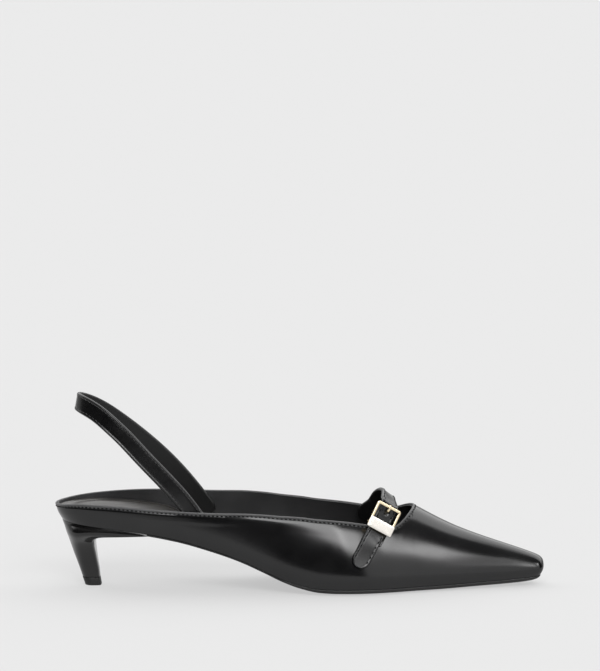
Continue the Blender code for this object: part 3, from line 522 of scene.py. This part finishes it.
frameMetal = metal("frameMetal", (0.86, 0.72, 0.48), (0.92, 0.8, 0.58), (0.16, 0.26))
plateMetal = metal("plateMetal", (0.86, 0.82, 0.76), (0.92, 0.88, 0.82), (0.22, 0.32))
barMetal = metal("barMetal", (0.8, 0.62, 0.36), (0.88, 0.72, 0.46), (0.18, 0.28))

print("finishes made")

# The upper: a black calf shell and its lining, each a closed skin with a rolled edge
upper = {
    "leather": 0.00085, "lining": 0.00066, "gap": 0.00008, "bead": (0.0003, 0.0007, 0.0006),
    "groove": (0.0003, 0.0005), "fold": (0.00006, 0.0058, 0.001), "stitchDrop": 0.0016,
    "rows": 34, "pitch": 0.0023, "dash": 0.0015, "thread": 0.00034,
}


def upperRuns():
    # columns close together round the throat and just ahead of it
    start, front = last["throatStart"], last["throatFront"]
    throat = start + (front - start) * np.sin(np.linspace(0, math.pi / 2, 40))
    ahead = front + 0.0065 * np.linspace(0, 1, 18)[1:] ** 1.7
    between = np.interp(np.arange(0, len(knots) - 1 + 1e-9, 1 / 9), np.arange(len(knots)),
                        knots)
    clear = (alongAt(between) < start) | (alongAt(between) > front + 0.0068)
    return np.unique(join((between[clear], runOf(throat), runOf(ahead))))


def toplinePath():
    # the collar's edge and its normals, from the heel's back along the outer side, round the
    # throat and home
    runs = upperRuns()
    runs = runs[alongAt(runs) <= last["throatFront"] + 1e-6]
    near, far = (np.array([place(side, runs, rimAngle(side, runs)) for place in (skin, skinNormal)])
                 for side in (outer, inner))
    return join((near, far[:, -2::-1]), axis=1)


def rounding(distance, radius):
    # how far an edge of that radius draws back so near to its rim
    return radius * (1 - np.sqrt(1 - held(1 - distance / radius) ** 2))


def upperShell(depth, thickness, relief):
    # skin minus normal * depth on both faces, drawn together at the rim in a half round
    rim = toplinePath()[0]
    runs = upperRuns()
    share = join((np.linspace(0, 0.93, upper["rows"] - 12),
                  1 - 0.07 * np.linspace(1, 0, 13)[1:] ** 1.5))
    parts = []
    for side in (outer, inner):
        angle = share[:, None] * rimAngle(side, runs)[None, :]
        spread = np.broadcast_to(runs, angle.shape)
        base = skin(side, spread, angle)
        normal = skinNormal(side, spread, angle)
        distance = nearest(base, rim)
        edge = rounding(distance, thickness / 2)
        near = base - normal * (depth + edge - relief(distance))[..., None]
        far = base - normal * (depth + thickness - edge)[..., None]
        parts.append(sheet(near, marks=distance))
        parts.append(sheet(far, marks=distance))
        parts.append(sheet(np.stack((near[0], far[0])), marks=distance[:1].repeat(2, axis=0)))
    return parts


def leatherRelief(distance):
    # a bead at the folded edge, a trough under the stitches, the fold's second layer behind it
    bead, beadIn, beadWide = upper["bead"]
    groove, grooveWide = upper["groove"]
    fold, foldIn, foldFade = upper["fold"]
    return (bead * hump(distance, beadIn, beadWide)
            - groove * hump(distance, upper["stitchDrop"], grooveWide)
            + fold * (1 - smoothStep((distance - foldIn) / foldFade)))


piece("upper_leather", upperShell(0, upper["leather"], leatherRelief), calf,
      ("upper",))
piece("upper_lining", upperShell(upper["leather"] + upper["gap"], upper["lining"],
                                 lambda distance: 0 * distance),
      liningSkin, ("upper",))

rimPoints, rimNormals = toplinePath()
rimEdge = unit(np.cross(rimNormals, np.gradient(rimPoints, axis=0)))
stitchPath = rimPoints + rimEdge * upper["stitchDrop"] * np.sign(-rimEdge[0, 2])
piece("upper_stitches", [stitchRow(stitchPath, rimNormals, upper, 0.002, 0.002)], thread)

# Insole with its heel sock
insole = {
    "rise": 0.0098, "dish": 0.002, "front": 0.2585, "padEnd": 0.082, "padRamp": 0.004,
    "pad": (0.0007, 0.0058, 0.0012), "seam": (0.00035, 0.0032, 0.0004), "edge": 0.0006,
    "profile": np.array((
        (0, 0.755), (0.038, 0.847), (0.087, 0.949), (0.174, 1), (0.226, 0.98),
        (0.245, 0.888), (0.264, 0.745), (0.283, 0.612), (0.302, 0.51), (0.34, 0.378),
        (0.377, 0.306), (0.453, 0.265), (0.566, 0.255), (1, 0.204))),
}


def insoleBody():
    # straight lines across from edge to edge, dished in the middle, raised under the heel
    riseAt = steadyThrough(insole["profile"][:, 0] * length,
                           insole["profile"][:, 1] * insole["rise"])
    edge = join((1 - np.cos(np.linspace(0, math.pi / 2, 14)),
                 np.linspace(1, 40, 120)[1:])) / 40
    runs = edge * runOf(insole["front"])
    strips = {}
    rise = riseAt(alongAt(runs)) * np.linspace(0, 1, 6)[:, None]
    angle = np.arcsin(sineOf(runs, rise))
    for side in (outer, inner):
        strip = skin(side, runs, angle) - skinNormal(side, runs, angle) * (last["wall"] + touch)
        strip[..., 2] = seamAt(alongAt(runs)) + rise
        strips[side] = strip
    share = bunched(49)[:, None, None] * 0.5 + 0.5
    high = acrossFrom(strips, -1, share)
    outline = join((strips[outer][-1][::-1], strips[inner][-1][1:]))
    distance = nearest(high, outline)
    high[..., 2] -= insole["dish"] * (1 - (2 * share[..., 0] - 1) ** 2)
    padded = 1 - smoothStep((high[..., 0] - insole["padEnd"]) / insole["padRamp"])
    pad, padIn, padFade = insole["pad"]
    seam, seamIn, seamWide = insole["seam"]
    high[..., 2] += (pad * padded * smoothStep((distance - padIn) / padFade)
                     - seam * hump(distance, seamIn, seamWide) - rounding(distance, insole["edge"]))
    return slab(acrossFrom(strips, 0, share), high, strips)


piece("insole_sock", insoleBody(), sockSkin, ("insole",))

# Outsole
sole = {"bevel": 0.0004, "draw": 0.0002, "start": 0.0498, "across": 33}


def outsoleBody():
    # slab between the seam's outline and a tread crowned by a fourth power, its lower edge a
    # quarter round
    first = runOf(sole["start"] + touch)
    runs = join((np.linspace(first, 0.86, 90), np.linspace(0.86, 1, 70)[1:]))
    share = bunched(sole["across"])[:, None, None] * 0.5 + 0.5
    crown = soleCrown * soleThickAt(alongAt(runs))
    bottom = soleLowAt(alongAt(runs)) + crown
    place = np.linspace(0, 1, 7)[:, None]
    draw = (sole["bevel"] * (1 - np.sqrt(1 - (1 - place) ** 2))
            + sole["draw"] * smoothStep((place - 0.8) / 0.2))
    edges = {}
    for side in (outer, inner):
        ahead, outward = planNormal(side, runs)
        edge = skin(side, runs, 0 * runs + 0 * place)
        edge[..., 0] -= draw * ahead
        edge[..., 1] -= side * draw * outward * (runs < 1)
        edge[..., 2] = bottom + (edge[..., 2] - touch - bottom) * place
        edges[side] = edge
    low = acrossFrom(edges, 0, share)
    low[..., 2] -= crown * (1 - (2 * share[..., 0] - 1) ** 4)
    return slab(low, acrossFrom(edges, -1, share), edges)


piece("outsole_body", outsoleBody(), soleSkin, ("outsole",))

# Covered heel and its top lift
heel = {
    "crease": 0.0005, "creaseRise": 0.001, "creaseEnd": 0.004, "creaseLag": 0.15, "columns": 56,
    "breastColumns": 8, "corner": 0.14, "cornerDraw": 0.45, "wing": 0.192 * length,
    "liftHeight": 0.0046, "liftLength": 0.0096, "liftWidth": 0.0108, "liftLean": 0.15,
    "round": 0.45, "taper": 0.14, "breast": 0.49, "sweep": 0.3,
    # back, back rise, front, front rise, half width, blend
    "rings": np.array((
        (0.279, 0, 0.468, 0, 0.5, 0), (0.256, 0.109, 0.46, 0.158, 0.52, 0),
        (0.223, 0.259, 0.444, 0.345, 0.57, 0.03), (0.191, 0.397, 0.43, 0.516, 0.65, 0.1),
        (0.163, 0.535, 0.418, 0.683, 0.76, 0.22), (0.144, 0.628, 0.42, 0.8, 0.87, 0.36),
        (0.128, 0.705, 0.434, 0.868, 1, 0.53), (0.111, 0.782, 0.478, 0.925, 1.18, 0.72),
        (0.097, 0.853, 0.6, 0.962, 1.38, 0.87), (0.084, 0.917, 0.8, 0.985, 1.56, 0.96),
        (0.073, 0.955, 1, 1, 1.66, 1))),
}


def heelPlan(share):
    # half width from back to front: a quarter ellipse, then slightly narrower
    back = np.sqrt(held(1 - (1 - share / heel["round"]) ** 2))
    ahead = 1 - heel["taper"] * (held(share - heel["round"])
                                 / (1 - heel["round"])) ** 2
    return np.where(share < heel["round"], back, ahead)


def seatHalves():
    # the seat's outline over the heel, from the back to the end of its wing, by sides
    turn = np.linspace(0, math.pi / 2, heel["columns"])
    runs = runOf(heel["wing"]) * (1 - np.cos(turn))
    return {side: skin(side, runs, 0 * runs) for side in (outer, inner)}


def heelRing(back, backRise, front, frontRise, halfWidth, blend):
    # slanted chords from back to front, one a row, as wide as the column or as the seat above;
    # ahead of the breast the wall stands straight under the seat, the breast's corners round
    halves = []
    more = heel["breastColumns"]
    fade = np.cos(np.linspace(0, math.pi / 2, more + 1))[1:]
    for side, seat in seatHalves().items():
        share = (seat[:, 0] - seat[0, 0]) / (seat[-1, 0] - seat[0, 0])
        share = join((share, np.ones(more)))
        beside = join((np.abs(seat[:, 1]), np.full(more, abs(seat[-1, 1]))))
        closing = join((np.ones(len(seat)), fade))
        along = back + (front - back) * share
        above = np.interp(along, seat[:, 0], np.abs(seat[:, 1]))
        seatWide = beside + (above - beside) * smoothStep(share)
        mix = blend + (1 - blend) * smoothStep((along / heel["wing"] - heel["breast"])
                                               / heel["sweep"])
        near = held((share - 1 + heel["corner"]) / heel["corner"])
        narrow = halfWidth * heelPlan(share) * (1 - heel["cornerDraw"] * near ** 3 * (1 - mix))
        wide = (1 - mix) * narrow + mix * seatWide
        height = backRise + (frontRise - backRise) * share
        halves.append(np.stack([along, side * wide * closing, height], axis=-1))
    return join((halves[0], halves[1][:, ::-1][:, 1:]), axis=1)


def heelBody():
    # rings from the top lift up to the seat, drawn in just under it to leave a crease
    rows = np.arange(len(heel["rings"]))
    fine = np.unique(join((np.linspace(0, rows[-1], 70),
                           rows[-1] - 0.3 * np.linspace(0, 1, 12))))
    back, backRise, front, frontRise, halfWidth, blend = (
        steadyThrough(rows.astype(float), heel["rings"][:, column])(fine)[:, None]
        for column in range(6))
    seatBack = float(seamAt(0)) - touch
    wingLow = float(soleLowAt(heel["wing"]) + soleCrown * soleThickAt(heel["wing"]))
    base = heel["liftHeight"]
    rings = heelRing(back * heel["wing"], base + backRise * (seatBack - base),
                     front * heel["wing"], base + frontRise * (wingLow - base),
                     halfWidth * heel["liftWidth"], held(blend))
    seat = rings[-1].copy()
    half = seatHalves()
    seat[:heel["columns"]] = half[outer]
    seat[-heel["columns"]:] = half[inner][::-1]
    seat[:, 2] -= touch
    tail = slice(heel["columns"], len(seat) - heel["columns"])
    seat[tail, 0] = heel["wing"]
    seat[tail, 2] = float(seamAt(heel["wing"])) - touch
    rings = join((rings, seat[None]))
    below = seamAt(rings[..., 0]) - touch - rings[..., 2]
    drawn = heel["crease"] * (1 - smoothStep(below / heel["creaseRise"] - heel["creaseLag"]))
    rings[..., 1] -= np.sign(rings[..., 1]) * np.minimum(np.abs(rings[..., 1]), drawn)
    rings[..., 0] += drawn * held(1 - rings[..., 0] / heel["creaseEnd"])
    flat = rings[[0, -1]] * (1, 0, 1)
    return [sheet(join((flat[:1], rings, flat[1:])), wrapColumns=True)]


def liftBody():
    # the heel's lowest ring carried down with a lean, its rims a little drawn in
    back = heel["rings"][0, 0] * heel["wing"]
    front = back + heel["liftLength"]
    lean = heel["liftLean"] * heel["liftLength"]
    share = np.array((0, 0, 0.06, 0.5, 0.94, 1, 1))[:, None]
    draw = np.array((1, 0.03, 0, 0, 0, 0.03, 1))[:, None]
    level = share * (heel["liftHeight"] - touch)
    rings = heelRing(back + lean * (1 - share), level, front + 0.5 * lean * (1 - share), level,
                     (0.49 + 0.01 * share) * heel["liftWidth"] * (1 - draw), 0 * share)
    return [sheet(rings, wrapColumns=True)]


piece("heel_cover", heelBody(), heelCalf, ("heel",))
piece("top_lift_body", liftBody(), liftRubber, ("top_lift",))


# Straps
threadLift = 0.0002


def strapFrame(centre, facing, count):
    # even places on the smooth centreline: run, point, way along, way out and way across
    run = pathLength(centre)
    where = np.linspace(0, run[-1], count)
    spot = np.stack([curveThrough(run, centre[:, axis])(where) for axis in range(3)], axis=-1)
    out = np.stack([curveThrough(run, facing[:, axis])(where) for axis in range(3)], axis=-1)
    way = unit(np.gradient(spot, axis=0))
    side = unit(np.cross(way, out))
    return where, spot, np.cross(side, way), side


def halfWidth(where, look):
    # even from the width at the start to that at the end
    return np.interp(where, where[[0, -1]], np.broadcast_to(look["width"], 2)) / 2


def strapBody(frameOfStrap, look, relief=None):
    # a flat section, each face thickness / 2 * (1 - near^2.4)^(1/2) out from the middle with near
    # one at its edge, fuller at the folded edges, a trough under the stitches, ends round
    where, spot, out, side = frameOfStrap
    radius = halfWidth(where, look)
    ends = np.minimum(where if look["round"][0] else radius,
                      where[-1] - where if look["round"][1] else radius)
    half = radius * np.sqrt(1 - np.clip(1 - ends / radius, 0, 0.9999) ** 2)
    across = bunched(29)
    fromEdge = (1 - np.abs(across)) * half[:, None]
    fall = np.sqrt(held(1 - held(1 - fromEdge / look["edge"]) ** 2.4))
    top = look["thickness"] / 2 * fall
    if "stitchIn" in look:
        crown = (look["roll"] * hump(fromEdge, 0.0009, 0.0006)
                 - look["trough"] * hump(fromEdge, look["stitchIn"], 0.0003))
        top = top + crown * (half > 0.6 * radius)[:, None]
    if relief is not None:
        top = top + relief(where[:, None], across * half[:, None])
    under = -look["thickness"] / 2 * fall
    height = join((top, under[:, ::-1][:, 1:-1]), axis=1)
    wide = join((across, across[::-1][1:-1])) * half[:, None]
    marks = join((0 * top, 0 * under[:, 1:-1] + 1), axis=1)
    rings = spot[:, None] + side[:, None] * wide[..., None] + out[:, None] * height[..., None]
    marks = join((marks[:1], marks, marks[-1:]))
    return [sheet(closeEnds(rings), wrapColumns=True, marks=marks)]


def strapStitches(frameOfStrap, look, start, finish):
    # rows beside both edges on the outer face
    where, spot, out, side = frameOfStrap
    keep = (where > start) & (where < where[-1] - finish)
    inset = (halfWidth(where, look) - look["stitchIn"])[keep, None]
    lift = look["thickness"] / 2 - look["trough"] + threadLift
    return [stitchRow(spot[keep] + side[keep] * (edge * inset) + out[keep] * lift, out[keep],
                      look, 0.5 * look["pitch"]) for edge in (-1, 1)]


sling = {
    "width": (0.0094, 0.0101), "thickness": 0.002, "height": 0.1004, "back": 0.0464 * length,
    "lean": math.radians(10), "tilt": 0.22, "endHeight": 0.035,
    "endAlong": {outer: 0.3038 * length, inner: 0.317 * length},
    "gap": 0.0005,
    # forward, down on the outer side, down on the inner side, aside
    "route": np.array((
        (0.036, 0.013, 0.018, 0.36), (0.158, 0.073, 0.092, 0.66), (0.264, 0.156, 0.176, 0.8),
        (0.384, 0.267, 0.28, 0.9), (0.5, 0.393, 0.386, 0.95), (0.62, 0.523, 0.505, 0.98),
        (0.8, 0.724, 0.716, 1), (0.905, 0.861, 0.862, 1), (1, 1, 1, 1))),
    "round": (True, True), "edge": 0.0009, "roll": 0.00016, "trough": 0.00016, "stitchIn": 0.0016,
    "pitch": 0.0024, "dash": 0.0017, "thread": 0.00019,
}


def slingHalf(side):
    # from the ankle's back down the side into the upper, facing outwards all the way
    forward, outerDown, innerDown, aside = sling["route"].T
    down = outerDown if side == outer else innerDown
    along = sling["back"] + forward * (sling["endAlong"][side] - sling["back"])
    height = sling["height"] + down * (sling["endHeight"] - sling["height"])
    rim = seamAt(along) + rimAt[side](runOf(along))
    depth = last["wall"] + sling["gap"] + sling["thickness"] / 2
    wall, normal = onSkin(side, along, np.minimum(height, rim), -depth + 0 * along)
    level = smoothStep((height - rim) / (0.1 * sling["height"]))[:, None]
    turn = math.radians(90) * np.minimum(1, aside)
    out = np.stack([-np.cos(turn) * math.cos(sling["lean"]), side * np.sin(turn),
                    np.cos(turn) * math.sin(sling["lean"]) + sling["tilt"] * np.sin(turn)],
                   axis=-1)
    points = np.stack([along, wall[:, 1] * aside, height], axis=-1)
    return points, normal * (1 - level) + out * level


nearHalf, nearFacing = slingHalf(outer)
farHalf, farFacing = slingHalf(inner)
slingCentre = join((nearHalf[::-1], [(sling["back"], 0, sling["height"])], farHalf))
slingFacing = join((nearFacing[::-1], [(-math.cos(sling["lean"]), 0,
                                        math.sin(sling["lean"]))], farFacing))
slingFrame = strapFrame(slingCentre, slingFacing, 260)
piece("sling_strap_body", strapBody(slingFrame, sling), strapCalf,
      ("sling_strap",))
piece("sling_stitches", strapStitches(slingFrame, sling, 0.006, 0.006), slingThreadPaintedSheen)

# The buckle's own frame
crest = 0.0502
buckle = {
    "plateCentre": (0.6623 * length, 0.737 * crest), "up": (0.435, 0.3, 0.85),
    "across": (0.854, 0.146, -0.504), "width": 0.0142, "length": 0.0152, "thickness": 0.001,
    "sideBar": 0.0013, "topBar": 0.0015, "lowBar": 0.0022, "corner": 0.0012,
    "plateLength": 0.0059, "plateThickness": 0.0009, "hingeBar": 0.0012, "prongWidth": 0.0014,
    "prongThickness": 0.0009, "tabThickness": 0.0007, "tabWidth": 0.011, "tabLength": 0.0085,
    "tabDrop": 0.0012, "tabRamp": 0.005, "overlap": 0.0001, "prongInset": 0.0024,
    "prongBend": 0.0012, "overhang": 0.0003, "plateCorner": 0.0004, "plateCrown": 0.00008,
    "plateInset": (0.00018, 0, 0, 0.00008, 0.00028), "plateLevel": (0, 0.15, 0.72, 0.92, 1),
    "barBend": 0.0008, "softness": 0.55,
}
strap = {
    "width": 0.01, "thickness": 0.0018, "gap": 0.0005,
    # along as a share of the length, across of the ball width, height of the crest, facing
    # to the toe
    "route": np.array(((0.6815, -0.245, 0.96, 0.5), (0.681, -0.13, 0.982, 0.9),
                       (0.6795, 0, 0.983, 0.8), (0.675, 0.12, 0.958, 0.6),
                       (0.665, 0.205, 0.895, 0.38), (0.656, 0.248, 0.815, 0.25))),
    "innerEnd": (0.6434 * length, 0.647 * crest),
    "tail": ((0.6425 * length, 0.573 * crest), (0.6306 * length, 0.458 * crest),
             (0.6134 * length, 0.316 * crest)),
    "round": (True, True), "edge": 0.0008, "roll": 0.00014, "trough": 0.00016, "stitchIn": 0.0013,
    "pitch": 0.0031, "dash": 0.00185, "thread": 0.0003, "hole": (0.0006, 0.001, 1.25),
    "pucker": (0.00012, 0.0019, 0.0005),
}


def buckleAxes():
    # its middle, over the wall by all that lies under it, and its three directions
    up = unit(np.array(buckle["up"]))
    across = np.array(buckle["across"])
    across = unit(across - up * across.dot(up))
    out = np.cross(across, up)
    depth = (buckle["thickness"] / 2 + strap["thickness"] + 2 * buckle["hingeBar"]
             + buckle["tabThickness"] + 5 * touch)
    under, normal = onSkin(outer, buckle["plateCentre"][0],
                           buckle["plateCentre"][1] - buckle["tabDrop"] / 2)
    reach = depth / max(0.5, float(out.dot(normal)))
    centre = np.array([buckle["plateCentre"][0], under[1] + out[1] * reach,
                       buckle["plateCentre"][1]])
    return centre, up, across, out


buckleCentre, buckleUp, buckleAcross, buckleOut = buckleAxes()


def bucklePoint(up, across, out):
    # a place in the buckle's own frame, as arrays or numbers
    up, across, out = np.broadcast_arrays(up, across, out)
    return (buckleCentre + up[..., None] * buckleUp + across[..., None] * buckleAcross
            + out[..., None] * buckleOut)


strapDepth = buckle["thickness"] / 2 + strap["gap"] + strap["thickness"] / 2
buckleLow = -buckle["plateLength"] / 2
buckleTop = buckleLow + buckle["length"]
prongAt = buckleTop - buckle["topBar"] - buckle["prongInset"]


def strapRoute():
    # tail on the vamp, straight through the buckle, over the throat, down inside the inner wall
    lift = strap["gap"] + strap["thickness"] / 2
    tail = np.array(strap["tail"][::-1])
    raised = lift + (buckle["tabThickness"] + touch) * smoothStep(
        (tail[:, 1] - tail[1, 1]) / buckle["tabRamp"])
    tailPoints, tailFacing = onSkin(outer, tail[:, 0], tail[:, 1], raised)
    through = bucklePoint(np.linspace(buckleLow, buckleTop, 5), 0, -strapDepth)
    along, across, height, forward = strap["route"].T
    over = np.stack([along * length, across * last["ballWidth"], height * crest], axis=-1)
    turn = math.pi * across
    overFacing = np.stack([forward, np.sin(turn), np.cos(turn)], axis=-1)
    depth = last["wall"] + strap["gap"] + strap["thickness"] / 2
    endAlong, endHeight = strap["innerEnd"]
    rim = float(seamAt(endAlong) + rimAt[inner](runOf(endAlong)))
    ends, endFacing = onSkin(inner, np.full(2, endAlong), np.array((rim, endHeight)),
                             -depth - np.array((3, 1.8)) * strap["gap"])
    return (join((tailPoints, through, over, ends)),
            join((tailFacing, np.broadcast_to(buckleOut, (5, 3)), overFacing,
                  endFacing)))


strapCentre, strapFacing = strapRoute()
strapPath = strapFrame(strapCentre, strapFacing, 240)
holeRun = float(pathLength(strapCentre)[3] + (prongAt - buckleLow))


def strapRelief(run, across):
    # the hole for the prong, drawn down round its rim, and soft puckers beside it
    hole, holeWide, stretch = strap["hole"]
    pucker, puckerFrom, puckerWide = strap["pucker"]
    away = np.hypot((run - holeRun) / stretch, across)
    return pucker * hump(away, puckerFrom, puckerWide) - hole * hump(away, 0, holeWide)


piece("instep_strap_body", strapBody(strapPath, strap, strapRelief), strapCalf,
      ("instep_strap",))
piece("instep_stitches", strapStitches(strapPath, strap, 0.003, 0.006), thread)


# Metal parts and the tab
def loopOf(low, high, half, corner):
    # a rectangle with round corners: up and across of each place
    turn = np.radians(np.linspace(0, 90, 9)[None, :] + 90 * np.arange(4)[:, None])
    up = np.array((high - corner, low + corner, low + corner, high - corner))[:, None]
    across = np.array((1, 1, -1, -1))[:, None] * (half - corner)
    return (up + corner * np.cos(turn)).ravel(), (across + corner * np.sin(turn)).ravel()


def frameBody():
    # from the outer outline to the window, its section a soft square: share = (1 - cos) / 2,
    # out = thickness / 2 * sin, cosine and sine both to a low power
    half = buckle["width"] / 2
    rim = loopOf(buckleLow, buckleTop, half, buckle["corner"])
    window = loopOf(buckleLow + buckle["lowBar"], buckleTop - buckle["topBar"],
                    half - buckle["sideBar"], buckle["corner"] / 3)
    turn = circle(20)
    cosine, sine = (np.sign(value) * np.abs(value) ** buckle["softness"]
                    for value in (np.cos(turn), np.sin(turn)))
    share = 0.5 - 0.5 * cosine
    out = buckle["thickness"] / 2 * sine
    up = rim[0][:, None] + (window[0] - rim[0])[:, None] * share
    across = rim[1][:, None] + (window[1] - rim[1])[:, None] * share
    return [sheet(bucklePoint(up, across, out), wrapRows=True, wrapColumns=True)]


def plateBody():
    # outlines stacked from the frame upwards, then drawn in over a slightly crowned face
    low, half = buckleLow - buckle["overlap"], buckle["width"] / 2 + buckle["overlap"]
    high = low + buckle["plateLength"]
    base = buckle["thickness"] / 2 + touch
    level = np.array(buckle["plateLevel"]) * buckle["plateThickness"] + base
    rings = [bucklePoint(*loopOf(low + step, high - step, half - step, buckle["plateCorner"]), out)
             for step, out in zip(buckle["plateInset"], level)]
    flat = rings[-1].mean(axis=0)
    for share in (0.66, 0.33):
        rings.append(flat + (rings[4] - flat) * share
                     + buckleOut * buckle["plateCrown"] * (1 - share))
    return [sheet(closeEnds(np.array(rings)), wrapColumns=True)]


def roundBar(points, radius):
    # a round bar through given places
    way = unit(np.gradient(points, axis=0))
    first = unit(np.cross(way, buckleUp))
    second = np.cross(way, first)
    turn = circle(12)
    rings = (points[:, None] + first[:, None] * (radius * np.cos(turn))[:, None]
             + second[:, None] * (radius * np.sin(turn))[:, None])
    return [sheet(closeEnds(rings), wrapColumns=True)]


def barBody():
    # a staple under the strap with round bends, its ends just under the frame
    half = buckle["width"] / 2 - buckle["hingeBar"] / 2
    top = -buckle["thickness"] / 2 - touch
    deep = -strapDepth - strap["thickness"] / 2 - touch - buckle["hingeBar"] / 2
    bend = buckle["barBend"]
    turn = np.radians(np.linspace(0, 90, 7))
    across = join(([half], half - bend + bend * np.cos(turn)))
    out = join(([top], deep + bend - bend * np.sin(turn)))
    across = join((across, -across[::-1]))
    out = join((out, out[::-1]))
    return roundBar(bucklePoint(0, across, out), buckle["hingeBar"] / 2)


def prongBody():
    # from the bar along the strap's back, up through the hole and over the frame's top
    under = -strapDepth - strap["thickness"] / 2 - touch - buckle["prongThickness"] / 2
    over = buckle["thickness"] / 2 + touch + buckle["prongThickness"] / 2
    route = np.array((
        (buckle["hingeBar"] / 2 + touch, under), (0.45 * prongAt, under),
        (prongAt - buckle["prongBend"], under), (prongAt, -strapDepth),
        (prongAt + buckle["prongBend"], 0.7 * over), (buckleTop - buckle["topBar"], over),
        (buckleTop + buckle["overhang"], over)))
    centre = bucklePoint(route[:, 0], 0, route[:, 1])
    facing = unit(np.cross(buckleAcross, np.gradient(centre, axis=0)))
    look = {"width": buckle["prongWidth"], "thickness": buckle["prongThickness"],
            "round": (False, True), "edge": 0.00045}
    return strapBody(strapFrame(centre, facing, 60), look)


def tabBody():
    # from under the bar down the wall below the strap's tail
    top = np.array(buckle["plateCentre"])
    way = unit(np.array(strap["tail"][0]) - top)
    places = top + way * (np.linspace(0, 1, 4) * buckle["tabLength"])[:, None]
    lift = np.full(4, touch + buckle["tabThickness"] / 2)
    centre, facing = onSkin(outer, places[:, 0], places[:, 1] - buckle["tabDrop"], lift)
    look = {"width": buckle["tabWidth"], "thickness": buckle["tabThickness"],
            "round": (False, False), "edge": 0.0003}
    return strapBody(strapFrame(centre, facing, 24), look)


piece("buckle_frame_body", frameBody(), frameMetal, ("buckle_frame",))
piece("buckle_plate_body", plateBody(), plateMetal, ("buckle_plate",))
piece("buckle_bar_body", barBody(), barMetal, ("buckle_bar",))
piece("buckle_prong_body", prongBody(), frameMetal, ("buckle_prong",))
piece("buckle_tab_body", tabBody(), strapCalf, ("buckle_tab",))
print("pieces made")

# Floor, light and camera
studio = {
    "floorSize": 24, "floorGlow": 0.51, "floorTone": 0.215, "aim": (0, 0, 0.1361), "distance": 2,
    "viewWidth": 0.324, "elevation": 7, "filmWidth": 36,
    # rise from and to, brightness gained: the dim dome and its bright top
    "dome": ((20, 60, 0.16), (60, 80, 1.6)), "domeLow": 0.02,
}
white = (1, 1, 1, 1)

ground = bpy.data.meshes.new("studio_floor")
reach = studio["floorSize"] / 2
ground.from_pydata([(-reach, -reach, 0), (reach, -reach, 0), (reach, reach, 0),
                    (-reach, reach, 0)], [], [(0, 1, 2, 3)])
ground.materials.append(finish("paleFloor", {
    "Base Color": (*(studio["floorTone"],) * 3, 1), "Roughness": 0.9,
    "Specular IOR Level": 0, "Emission Color": white,
    "Emission Strength": studio["floorGlow"]})[0])
floorObject = bpy.data.objects.new("studio_floor", ground)
bpy.context.collection.objects.link(floorObject)

world = bpy.data.worlds.new("studio")
world.use_nodes = True
bpy.context.scene.world = world
sky = Wire(world.node_tree)
axes = sky.node("ShaderNodeSeparateXYZ", {}, {"Vector": sky.node("ShaderNodeTexCoord")})
eastward, northward, upward = (Wire(sky.tree, socket) for socket in axes.socket.node.outputs)
bearing = sky.math("ARCTAN2", eastward, -1 * northward) * math.degrees(1)
rise = sky.math("ARCSINE", upward) * math.degrees(1)

# soft boxes of the studio: bearing from the front, to the right, and rise, each with half sizes
# and soft edge in degrees, then brightness
softBoxes = (
    (-6, 17, 42, 13, 6, 6.4),
    (20, 12, 34, 8, 6, 8),
    (38, 6, 34, 8, 6, 1.4),
    (51, 6, 35.5, 6.5, 5, 8.5),
    (42, 20, 10, 18, 6, 1),
    (138, 42, 42, 20, 9, 2.4),
    (-138, 42, 42, 20, 9, 2),
    (180, 80, 4, 18, 8, 0.55),
    (-180, 80, 4, 18, 8, 0.55),
)
glow, top = (rise.step(low, high) * gain for low, high, gain in studio["dome"])
glow = glow + top + studio["domeLow"]
for middle, spread, height, reachUp, soft, power in softBoxes:
    aside = sky.math("ABSOLUTE", bearing - middle)
    above = sky.math("ABSOLUTE", rise - height)
    glow = glow + ((1 - aside.step(spread - soft / 2, spread + soft / 2))
                   * (1 - above.step(reachUp - soft / 2, reachUp + soft / 2))) * power
background = world.node_tree.nodes["Background"]
background.inputs["Color"].default_value = white
world.node_tree.links.new(glow.socket, background.inputs["Strength"])

elevation = math.radians(studio["elevation"])
lens = bpy.data.cameras.new("camera")
lens.sensor_fit = "HORIZONTAL"
lens.sensor_width = studio["filmWidth"]
lens.lens = studio["filmWidth"] * studio["distance"] / studio["viewWidth"]
lens.clip_end = 60
camera = bpy.data.objects.new("camera", lens)
aimX, aimY, aimZ = studio["aim"]
camera.location = (aimX, aimY - studio["distance"] * math.cos(elevation),
                   aimZ + studio["distance"] * math.sin(elevation))
camera.rotation_euler = (math.pi / 2 - elevation, 0, 0)
bpy.context.collection.objects.link(camera)
bpy.context.scene.camera = camera
bpy.context.scene.view_settings.view_transform = "Standard"
print("studio made")
